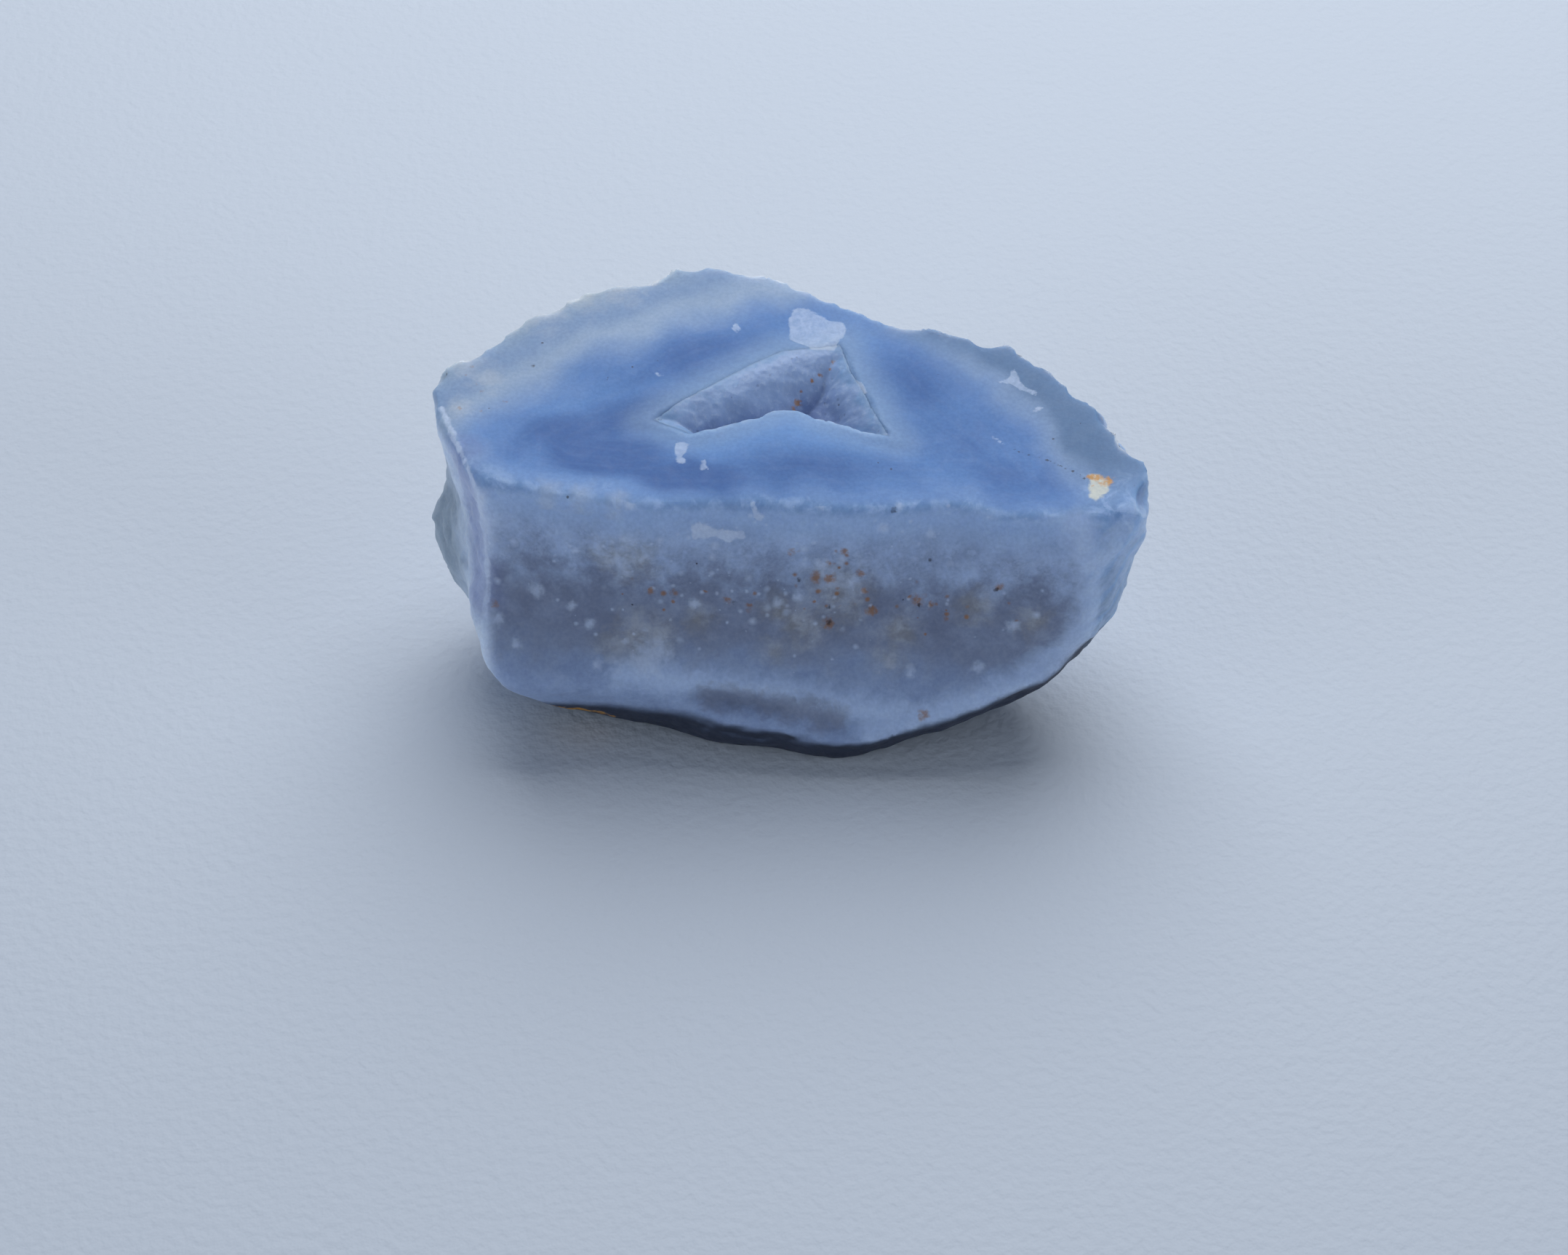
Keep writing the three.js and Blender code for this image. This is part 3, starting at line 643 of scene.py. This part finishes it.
def buildAgate():
    piece = copyOfNode("agate_stone", "agate")
    print("agate: solid copied")
    remesh = piece.modifiers.new("even mesh", "REMESH")
    remesh.mode = "VOXEL"
    remesh.voxel_size = agate["voxel"]
    applyModifiers(piece)
    mesh = piece.data
    relax(mesh, agate["smoothing"])

    even, normals = readPoints(mesh)
    agate["topCurve"] = fitTop(even, normals)
    rind = findRind(even, normals)
    places = addRelief(even, normals, rind)
    followHollow(places, depthBelowTop(even) < 6)
    writePoints(mesh, chipRim(places, normals))
    relax(mesh, 1)
    print("agate: relief and chips made")

    places, normals = readPoints(mesh)
    places[:, 2] = np.maximum(places[:, 2], 0)  # nothing reaches below what it rests on
    writePoints(mesh, places)
    addBandMasks(mesh, places, normals, even, rind)
    addMarkMasks(mesh, places, normals, even)
    for polygon in mesh.polygons:
        polygon.use_smooth = True
    mesh.materials.append(makeAgateMaterial(mesh))
    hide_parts("agate_stone")
    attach(piece, "root")
    print("agate:", len(mesh.polygons), "faces")


# the stone's material

agateColours = {
    "deepBlue": srgb(64, 106, 166),
    "blue": srgb(108, 152, 206),
    "paleBlue": srgb(134, 174, 220),
    "border": srgb(140, 164, 194),
    "lace": srgb(162, 180, 202),
    # pale, and on the rind below the ridge partly a painted highlight
    "ridge": srgb(172, 196, 230),
    "lilac": srgb(108, 146, 198),
    "frontBand": srgb(126, 158, 200),
    "greyRim": srgb(134, 158, 190),
    "rightRim": srgb(100, 130, 166),
    "greenRim": srgb(158, 172, 176),
    "sideBlue": srgb(174, 196, 228),
    "sidePale": srgb(216, 228, 246),
    "sideGrey": srgb(140, 162, 190),
    "lobe": srgb(122, 138, 150),
    "edge": srgb(188, 206, 234),
    "rindLilac": srgb(178, 196, 226),
    "rindGrey": srgb(154, 170, 200),
    "rindBlue": srgb(136, 154, 188),
    "flake": srgb(204, 216, 236),
    "pocket": srgb(214, 214, 204),
    "ochre": srgb(168, 158, 128),
    "cream": srgb(214, 212, 206),
    "rust": srgb(158, 104, 36),
    "darkSpeck": srgb(48, 44, 54),
    "shade": srgb(112, 122, 176),
    "stain": srgb(214, 150, 60),
    # painted shade for the middle of the rind
    "midShade": srgb(88, 82, 94),
    # brown with painted shade, for the notch's bottom
    "notchBrownShade": srgb(92, 84, 92),
    # near black: painted shade on the underside
    "under": srgb(26, 28, 42),
}
agateFinish = {
    "Specular IOR Level": 0.25,
    "Subsurface Weight": 0.8,
    "Subsurface Radius": (1.3, 1.1, 0.9),
    "Subsurface Scale": 2.0 * mm,
}
agateBump = {"Strength": 0.3, "Distance": 0.12 * mm}
# noise over the surface: cells per metre, detail, roughness, distortion
agatePatterns = {
    "wisps": (900.0, 4.0, 0.6, 0.6),
    "fine": (4200.0, 3.0, 0.6),
    "mottle": (650.0, 5.0, 0.62, 0.2),
    "paleDots": (1300.0, 3.0, 0.6),
    "jitter": (2200.0, 2.0, 0.6),
    "streaks": (1500.0, 3.0, 0.6, 1.0),
}
# where each change of colour starts and where it is full, in millimetres: loop is measured from the
# whitish loop, positive inside it, depth from the broken top, across from the middle of the stone
agateSpans = {
    "loop": {"inner": (0.0, 3.5), "edge": (-1.8, 1.8), "rim": (-0.8, -3.0), "greenRim": (-3.0, -7.0)},
    "depth": {"sides": (3.0, 9.0), "midShade": (2.5, 7.0), "midShadeEnd": (13.0, 9.0), "lip": (10.0, 13.0)},
    "across": {
        "rightRim": (2.0, 10.0), "left": (2.0, -5.0), "farLeft": (-14.0, -19.0),
        "behind": (-1.0, 4.0), "behindEnd": (12.0, 8.0),
    },
}
# lines and bands beside the loop: how much the cloud bends them, and how close together they lie
agateBands = {"top": {"bend": 0.3, "closeness": 7.0}, "sides": {"bend": 1.1, "closeness": 3.1}}
# single marks: the pattern that breaks up their edge and by how much, where they start and are full,
# how much of their colour shows
agateMarks = {
    "paleEdge": {"by": "wisps", "uneven": 0.3, "span": (1.8, 0.2), "share": 0.8, "colour": "edge"},
    "cornerShade": {"by": "wisps", "uneven": 0.25, "span": (2.4, 0.2), "share": 0.5, "colour": "shade"},
    "cornerEdge": {"by": "wisps", "uneven": 0.125, "span": (0.3, 0.08), "share": 0.7, "colour": "flake"},
    "pocket": {"by": "wisps", "uneven": 0.12, "span": (-0.1, 0.15), "share": 1.0, "colour": "pocket"},
    "recess": {"by": "wisps", "uneven": 0.35, "span": (1.6, 0.2), "share": 0.5, "colour": "notchBrownShade"},
    "stain": {"by": "jitter", "uneven": 0.6, "span": (1.3, 0.2), "share": 0.85, "colour": "stain"},
    "crack": {"by": "fine", "uneven": 0.05, "span": (0.09, 0.03), "share": 0.7, "colour": "darkSpeck"},
}
# placed spots, and the finer grains among them: cells per metre, density, size, softness
agateSpots = {
    "white": {
        "by": "jitter", "uneven": 0.25, "span": (1.3, 0.1), "share": 0.6, "colour": "flake",
        "grains": [(900.0, 0.6, 0.34, 0.9), (1700.0, 0.6, 0.34, 0.8)],
    },
    "rust": {
        "by": "jitter", "uneven": 0.45, "span": (1.2, 0.0), "share": 0.68, "colour": "rust",
        "grains": [(1600.0, 0.8, 0.38, 0.6)],
    },
    "dark": {
        "by": "jitter", "uneven": 0.4, "span": (1.2, 0.3), "share": 0.8, "colour": "darkSpeck",
        "grains": [(1500.0, 0.16, 0.2, 0.4)],
    },
}
creamSpots = {"by": "wisps", "uneven": 0.4, "span": (1.8, -0.2), "onBreaks": 0.25, "onRind": 0.32}
fewSpecks = {"layout": (520.0, 0.16, 0.055, 0.3), "share": 0.7}


def makeMaps(tree, mesh, place, patterns):
    # the values over the surface that colours are mixed by: the mesh's own attributes, and noise
    names = [layer.name for layer in mesh.attributes if layer.data_type == "FLOAT"]
    maps = {name: readAttribute(tree, name) for name in names}
    for name, settings in patterns.items():
        maps[name] = noiseValue(tree, place, *settings)
    return maps


def remapAcross(tree, maps, span, toHigh=1.0):
    return remap(tree, maps["across"], span[0] * mm, span[1] * mm, 0.0, toHigh)


def waves(tree, maps, bands):
    bent = calc(tree, "MULTIPLY_ADD", maps["cloud"], bands["bend"], maps["loop"])
    return calc(tree, "SINE", times(tree, bent, bands["closeness"]))


def lay(tree, colour, over, value, span, share=1.0):
    # lays a colour over another, more of it as the value goes through the span
    return mixColour(tree, remap(tree, value, *span, 0.0, share), colour, agateColours[over])


def innerColour(tree, maps, fading):
    # blue inside the whitish loop, deep blue in places, paler round the hollow
    inner = agateSpans["loop"]["inner"]
    colour = mixColour(tree, remap(tree, fading, *inner), agateColours["lilac"], agateColours["blue"])
    deep = plus(tree, maps["deep"], times(tree, maps["cloud"], 0.1))
    colour = lay(tree, colour, "deepBlue", deep, (-0.5, 0.8))
    colour = lay(tree, colour, "lace", waves(tree, maps, agateBands["top"]), (0.2, 1.0), 0.03)
    hollow = plus(tree, maps["hollow"], spread(tree, maps["wisps"], -0.12, 0.12))
    return lay(tree, colour, "border", hollow, (-2.4, -0.1), 0.6)


def outerColour(tree, maps, fading):
    # the whitish loop and the rim outside it, which starts sooner on the right and is bluer in front
    colours, spans = agateColours, agateSpans["across"]
    behind = remapAcross(tree, maps, spans["behind"])
    behind = times(tree, behind, remapAcross(tree, maps, spans["behindEnd"]))
    lace = mixColour(tree, times(tree, behind, 0.8), colours["lace"], colours["rightRim"])
    toRight = remapAcross(tree, maps, spans["rightRim"])
    rim = mixColour(tree, toRight, colours["greyRim"], colours["rightRim"])
    sooner = remapAcross(tree, maps, spans["rightRim"], 1.3)
    nearRim = remap(tree, calc(tree, "SUBTRACT", fading, sooner), *agateSpans["loop"]["rim"])
    colour = mixColour(tree, nearRim, lace, rim)
    green = remap(tree, fading, *agateSpans["loop"]["greenRim"])
    green = times(tree, green, remapAcross(tree, maps, spans["left"]))
    colour = mixColour(tree, green, colour, colours["greenRim"])
    front = mixColour(tree, remap(tree, maps["wisps"], 0.4, 0.7), colours["frontBand"], colours["ridge"])
    return mixColour(tree, remap(tree, maps["back"], -7.5 * mm, -3.0 * mm), front, colour)


def topColour(tree, maps):
    fading = plus(tree, maps["loop"], times(tree, maps["cloud"], 0.6))
    outer = outerColour(tree, maps, fading)
    inner = innerColour(tree, maps, fading)
    colour = mixColour(tree, remap(tree, fading, *agateSpans["loop"]["edge"]), outer, inner)
    return lay(tree, colour, "lace", maps["wisps"], (0.5, 0.8), 0.10)


def sidesColour(tree, maps):
    # the broken sides: blue near the rim, greyer below, palest on the left
    depth = remap(tree, plus(tree, maps["depth"], maps["cloud"]), *agateSpans["depth"]["sides"])
    colour = mixColour(tree, depth, agateColours["sideBlue"], agateColours["sideGrey"])
    colour = lay(tree, colour, "lace", maps["wisps"], (0.35, 0.7), 0.5)
    bands = waves(tree, maps, agateBands["sides"])
    colour = lay(tree, colour, "paleBlue", bands, (0.0, 1.0), 0.4)
    colour = lay(tree, colour, "edge", bands, (-0.4, -1.0), 0.3)
    farLeft = remapAcross(tree, maps, agateSpans["across"]["farLeft"], 0.8)
    colour = mixColour(tree, farLeft, colour, agateColours["sidePale"])
    return mixColour(tree, maps["lobe"], colour, agateColours["lobe"])


def rindColour(tree, maps):
    # the weathered rind: mottled lilac grey, with painted shade across its middle, bluer at its lower lip
    colours, spans = agateColours, agateSpans["depth"]
    colour = mixColour(tree, spread(tree, maps["mottle"]), colours["rindLilac"], colours["rindGrey"])
    uneven = calc(tree, "MULTIPLY_ADD", maps["cloud"], 0.8, spread(tree, maps["mottle"], -0.8, 0.8))
    level = plus(tree, maps["depth"], uneven)
    # painted shade across the middle of the rind, between these depths
    middle = times(tree, remap(tree, level, *spans["midShade"]), remap(tree, level, *spans["midShadeEnd"]))
    colour = mixColour(tree, times(tree, middle, 0.5), colour, colours["midShade"])
    colour = lay(tree, colour, "rindBlue", level, spans["lip"], 0.6)
    pale = times(tree, remap(tree, maps["paleDots"], 0.5, 0.68), remap(tree, maps["depth"], 8.0, 2.0))
    return mixColour(tree, times(tree, pale, 0.5), colour, colours["edge"])


def reachOf(tree, maps, name, look):
    # how far a mark reaches, with its edge broken up by a pattern
    return plus(tree, maps[name], spread(tree, maps[look["by"]], -look["uneven"], look["uneven"]))


def addMark(tree, maps, colour, name):
    mark = agateMarks[name]
    return lay(tree, colour, mark["colour"], reachOf(tree, maps, name, mark), mark["span"], mark["share"])


def addSpots(tree, maps, colour):
    # cream on the breaks, mottled with ochre on the rind
    cream = lay(tree, agateColours["cream"], "ochre", maps["mottle"], (0.4, 0.6))
    cream = mixColour(tree, maps["rind"], agateColours["cream"], cream)
    share = remap(tree, maps["rind"], 0.0, 1.0, creamSpots["onBreaks"], creamSpots["onRind"])
    creamMask = remap(tree, reachOf(tree, maps, "cream", creamSpots), *creamSpots["span"])
    colour = mixColour(tree, times(tree, creamMask, share), colour, cream)
    for name, look in agateSpots.items():
        mask = remap(tree, reachOf(tree, maps, name, look), *look["span"])
        for cells, density, size, softness in look["grains"]:
            here = times(tree, maps[name + "Grains"], density)
            grains = specks(tree, maps["place"], cells, here, size, softness)
            mask = calc(tree, "MAXIMUM", mask, grains)
        colour = mixColour(tree, times(tree, mask, look["share"]), colour, agateColours[look["colour"]])
    return colour


def addGrain(tree, surface, maps, flake):
    # duller on the rind and on bruises, with a low grain everywhere
    rough = plus(tree, spread(tree, maps["wisps"], 0.42, 0.58), times(tree, maps["rind"], 0.12))
    tree.links.new(plus(tree, rough, times(tree, flake, 0.15)), surface.inputs["Roughness"])
    height = plus(tree, times(tree, maps["streaks"], 0.4), times(tree, maps["wisps"], 0.4))
    addBump(tree, surface, plus(tree, height, times(tree, flake, 0.5)), agateBump)


def makeAgateMaterial(mesh):
    material, tree, surface, place = newMaterial("blue lace agate", agateFinish)
    maps = makeMaps(tree, mesh, place, agatePatterns)
    split = addNode(tree, "SeparateXYZ", {"Vector": place}).outputs
    maps.update({"place": place, "across": split["X"], "back": split["Y"]})
    wisps, rind = maps["wisps"], maps["rind"]

    colour = mixColour(tree, maps["side"], topColour(tree, maps), sidesColour(tree, maps))
    colour = mixColour(tree, rind, colour, rindColour(tree, maps))
    # a pale band at the top of the rind: partly its paler stone, partly a painted highlight on the rounded
    # ridge
    ridge = times(tree, remap(tree, maps["depth"], 3.4, 0.8), remap(tree, rind, 0.0, 0.4))
    colour = mixColour(tree, times(tree, ridge, 0.85), colour, agateColours["ridge"])
    # pale edge bands, partly painted light, then the left corner's lilac band and thin light edge
    for name in ("paleEdge", "cornerShade", "cornerEdge"):
        colour = addMark(tree, maps, colour, name)
    colour = addSpots(tree, maps, colour)

    flake = remap(tree, plus(tree, maps["flake"], spread(tree, wisps, -0.12, 0.12)), -0.08, 0.08)
    whiteness = calc(tree, "MULTIPLY_ADD", rind, 0.3, spread(tree, maps["streaks"], 0.45, 0.7))
    colour = mixColour(tree, times(tree, flake, whiteness), colour, agateColours["flake"])
    # the yellow pocket, then the notch's brown and painted shade
    for name in ("pocket", "recess"):
        colour = addMark(tree, maps, colour, name)
    # painted shade darkens the underside
    colour = mixColour(tree, times(tree, maps["under"], 0.92), colour, agateColours["under"])
    for name in ("stain", "crack"):
        colour = addMark(tree, maps, colour, name)
    dust = times(tree, specks(tree, place, *fewSpecks["layout"]), fewSpecks["share"])
    colour = mixColour(tree, dust, colour, agateColours["darkSpeck"])
    grain = spread(tree, maps["fine"], 0.0, 0.14)
    colour = mixColour(tree, grain, colour, agateColours["deepBlue"], "MULTIPLY")
    tree.links.new(colour, surface.inputs["Base Color"])
    addGrain(tree, surface, maps, flake)
    return material


# the druse in the hollow

druse = {
    # edges of the hollow's mouth that its crusted walls fall from: two points, the wall's slope,
    # the share of the slope at the edge, and how fast the rest follows
    "walls": [
        {"from": (-6.8, 0.6), "to": (3.0, 6.2), "slope": 0.9, "start": 0.15, "bend": 0.26},
        {"from": (3.6, 6.5), "to": (6.9, -2.4), "slope": 0.7, "start": 0.3, "bend": 0.28},
    ],
    "frontSlope": 2.4,
    # rust grains along the valley: across, back, radius
    "rust": [
        (0.8, 2.3, 0.22), (0.6, 1.8, 0.18), (0.95, 2.75, 0.12), (2.2, 3.9, 0.14), (1.7, 3.4, 0.12),
        (3.0, 4.8, 0.14), (2.8, 4.3, 0.1), (-1.2, -0.1, 0.12), (-0.4, 0.2, 0.12), (2.0, 0.9, 0.1),
        (-3.1, -0.3, 0.09),
    ],
    "gridStep": 0.1 * mm,
    "gridMargin": 1.2 * mm,
    "hem": 0.3,
    "hemDip": 0.3 * mm,
    "thickness": 0.3 * mm,
    "crystal": 0.26 * mm,
    "crystalHeight": 0.06 * mm,
    "grain": 0.5 * mm,
    "grainHeight": 0.03 * mm,
}


def druseDepth(places):
    # how far the hollow's walls lie below the broken top, in millimetres
    uneven = np.stack([noiseAt(places * (1, 1, 0), 1.3 * mm, 41 + i, 2) for i in range(2)], axis=1) * 0.2
    flat = places[:, :2] / mm + uneven
    inside = insideMouth(flat * mm)
    steep = smoothStep(flat[:, 0], -7.0, -3.5) * smoothStep(7.0 - flat[:, 0], 0, 2.0)
    depth = druse["frontSlope"] * (0.2 + 0.8 * steep) * np.clip(inside, 0, None)
    for wall in druse["walls"]:
        start, end = np.array(wall["from"]), np.array(wall["to"])
        along = (end - start) / np.linalg.norm(end - start)
        away = np.clip((flat - start) @ np.array((along[1], -along[0])), 0, None)
        fall = wall["slope"] * away * np.clip(wall["start"] + wall["bend"] * away, 0, 1)
        # the shallower of the two walls, with a soft valley where they meet
        share = np.clip(0.5 + (depth - fall) / 0.5, 0, 1)
        depth = depth * (1 - share) + fall * share - 0.125 * share * (1 - share)
    return np.clip(depth, 0, None)


def makeCrust(mesh):
    # a level grid over the hollow's mouth, cut to its outline with a hem, and thickened
    outline = np.array(agate["mouth"]) * mm
    low, high = outline.min(axis=0) - druse["gridMargin"], outline.max(axis=0) + druse["gridMargin"]
    across, along = high - low
    middle = (low + high) / 2
    shape = bmesh.new()
    bmesh.ops.create_grid(
        shape,
        x_segments=round(across / druse["gridStep"]),
        y_segments=round(along / druse["gridStep"]),
        size=0.5,
        matrix=Matrix.Translation((*middle, 0)) @ Matrix.Diagonal((across, along, 1, 1)),
    )
    shape.to_mesh(mesh)
    inside = insideMouth(readPoints(mesh)[0])
    shape.verts.ensure_lookup_table()
    outside = [shape.verts[i] for i in np.flatnonzero(inside < -druse["hem"])]
    bmesh.ops.delete(shape, geom=outside, context="VERTS")
    bmesh.ops.solidify(shape, geom=shape.faces[:], thickness=druse["thickness"])
    shape.to_mesh(mesh)
    shape.free()


def layCrust(mesh):
    # lays the crust on the hollow's walls, with crystals on top; its hem dips under the stone
    places, _ = readPoints(mesh)
    fromTop = places[:, 2].copy()
    inside = insideMouth(places)
    cells = [Vector((x, y, 0)) for x, y, _ in (places / druse["crystal"]).tolist()]
    lumps = np.array([noise.voronoi(cell)[0][0] for cell in cells])
    height = curveTerms(places) @ agate["topCurve"] - druseDepth(places) * mm
    height -= druse["hemDip"] * smoothStep(druse["hem"] - inside, 0, 0.5)
    top = (fromTop > -0.5 * druse["thickness"]) * smoothStep(inside, 0.0, 0.6)
    grains = noiseAt(places, druse["grain"], 31, 3) * druse["grainHeight"] * top
    height += grains + (0.5 - lumps) * druse["crystalHeight"] * top
    places[:, 2] = height + fromTop
    writePoints(mesh, places)
    shape = bmesh.new()
    shape.from_mesh(mesh)
    bmesh.ops.recalc_face_normals(shape, faces=shape.faces)
    for face in shape.faces:
        face.smooth = True
    shape.to_mesh(mesh)
    shape.free()


def buildDruse():
    mesh = bpy.data.meshes.new("druse")
    piece = addObject("druse", mesh)
    makeCrust(mesh)
    layCrust(mesh)
    places, _ = readPoints(mesh)
    addAttributes(mesh, {
        "hollow": insideMouth(places),
        "depth": depthBelowTop(places),
        "flake": distanceToLoop(places, flakeOutlines[0]),
        "rust": spotDistance(places, druse["rust"], 0, [], 0),
    })
    mesh.materials.append(makeDruseMaterial(mesh))
    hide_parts("druse_crust")
    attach(piece, "root")
    print("druse:", len(mesh.polygons), "faces")


druseColours = {
    "shallow": srgb(144, 166, 204),
    # painted shade for the deeper crust
    "deep": srgb(116, 134, 176),
    "glint": srgb(186, 200, 224),
    "shadow": srgb(84, 92, 120),
    "darkDot": srgb(70, 70, 92),
    "rust": srgb(160, 108, 52),
}
druseFinish = {
    "Subsurface Weight": 0.6,
    "Subsurface Radius": (1.2, 1.1, 1.0),
    "Subsurface Scale": 0.8 * mm,
}
druseBump = {"Strength": 0.35, "Distance": 0.08 * mm}
drusePatterns = {"cloud": (700.0, 4.0, 0.6), "fine": (3000.0, 3.0, 0.6)}
# specks between the crystals: cells per metre, density, size, softness, how much of their colour shows
druseSpecks = {
    "shadow": {"layout": (2400.0, 0.22, 0.34, 0.5), "share": 0.4},
    "darkDot": {"layout": (1500.0, 0.22, 0.2, 0.4), "share": 0.7},
}


def makeDruseMaterial(mesh):
    material, tree, surface, place = newMaterial("quartz druse", druseFinish)
    maps = makeMaps(tree, mesh, place, drusePatterns)
    cloud, fine = maps["cloud"], maps["fine"]
    # painted shade: the crust darkens deeper in the hollow
    depth = plus(tree, maps["depth"], spread(tree, cloud, -0.3, 0.3))
    colour = mixColour(tree, remap(tree, depth, 0.3, 2.6), druseColours["shallow"], druseColours["deep"])
    colour = mixColour(tree, remap(tree, fine, 0.5, 0.7, 0.0, 0.3), colour, druseColours["glint"])
    for name, look in druseSpecks.items():
        mask = times(tree, specks(tree, place, *look["layout"]), look["share"])
        colour = mixColour(tree, mask, colour, druseColours[name])
    rust = plus(tree, maps["rust"], spread(tree, fine, -0.5, 0.5))
    colour = mixColour(tree, remap(tree, rust, 1.3, 0.2, 0.0, 0.85), colour, druseColours["rust"])
    # the hollow's edge is bare agate, and a bruise runs down into it
    bare = mixColour(tree, 0.6, agateColours["blue"], agateColours["border"])
    fromRim = plus(tree, maps["hollow"], spread(tree, cloud, -0.6, 0.6))
    colour = mixColour(tree, remap(tree, fromRim, 0.2, 1.2), bare, colour)
    colour = lay(tree, colour, "flake", maps["flake"], (-0.08, 0.08), 0.6)
    tree.links.new(colour, surface.inputs["Base Color"])
    tree.links.new(spread(tree, fine, 0.35, 0.6), surface.inputs["Roughness"])
    addBump(tree, surface, fine, druseBump)
    return material


# table, light and camera

studio = {
    "tableRadius": 3.0,
    "tableFinish": {"Base Color": srgb(203, 208, 216), "Roughness": 0.6, "Specular IOR Level": 0.25},
    "tablePeel": (1500.0, 2.0, 0.5),
    "tableBump": {"Strength": 0.5, "Distance": 0.2 * mm},
    "roomColour": (0.62, 0.74, 1.0, 1.0),
    "roomStrength": 0.17,
    "lightSize": 0.4,
    "lights": {
        "window": {"at": (0.03, 0.21, 0.28), "aim": (0, 0, 0), "power": 1.32, "tint": (0.9, 0.95, 1.0)},
        "left wall": {"at": (-0.55, -0.3, 0.16), "aim": (0, 0, 0.01), "power": 1.3, "tint": (0.8, 0.9, 1.0)},
        "right wall": {"at": (0.55, -0.25, 0.16), "aim": (0, 0, 0.01), "power": 1.1, "tint": (0.8, 0.9, 1.0)},
    },
    "lookAt": (-0.08 * mm, -0.50 * mm, 0.0),
    "distance": 0.270,
    "elevation": 45.0,
    "lens": 95.0,
}


def buildTable():
    shape = bmesh.new()
    bmesh.ops.create_circle(shape, cap_ends=True, segments=64, radius=studio["tableRadius"])
    mesh = bpy.data.meshes.new("table")
    shape.to_mesh(mesh)
    shape.free()
    table = addObject("table", mesh)
    material, tree, surface, place = newMaterial("pale paint", studio["tableFinish"])
    addBump(tree, surface, noiseValue(tree, place, *studio["tablePeel"]), studio["tableBump"])
    mesh.materials.append(material)
    print("table built")


def addSoftbox(name, look):
    light = bpy.data.lights.new(name, "AREA")
    light.shape = "DISK"
    light.size = studio["lightSize"]
    light.energy = look["power"]
    light.color = look["tint"]
    lamp = addObject(name, light)
    lamp.location = look["at"]
    towards = Vector(look["aim"]) - Vector(look["at"])
    lamp.rotation_euler = towards.to_track_quat("-Z", "Y").to_euler()


def buildLight():
    world = bpy.data.worlds.new("soft room")
    bpy.context.scene.world = world
    world.use_nodes = True
    background = world.node_tree.nodes["Background"]
    background.inputs["Color"].default_value = studio["roomColour"]
    background.inputs["Strength"].default_value = studio["roomStrength"]
    for name, look in studio["lights"].items():
        addSoftbox(name, look)
    print("lights placed")


def buildCamera():
    camera = bpy.data.cameras.new("camera")
    camera.lens = studio["lens"]
    camera.clip_start = 0.01
    camera.clip_end = 20.0
    holder = addObject("camera", camera)
    tilt = math.radians(studio["elevation"])
    look = Vector((0, math.cos(tilt), -math.sin(tilt)))
    holder.location = Vector(studio["lookAt"]) - look * studio["distance"]
    holder.rotation_euler = look.to_track_quat("-Z", "Y").to_euler()
    bpy.context.scene.camera = holder
    bpy.context.scene.view_settings.view_transform = "Standard"
    print("camera placed")


buildAgate()
buildDruse()
buildTable()
buildLight()
buildCamera()
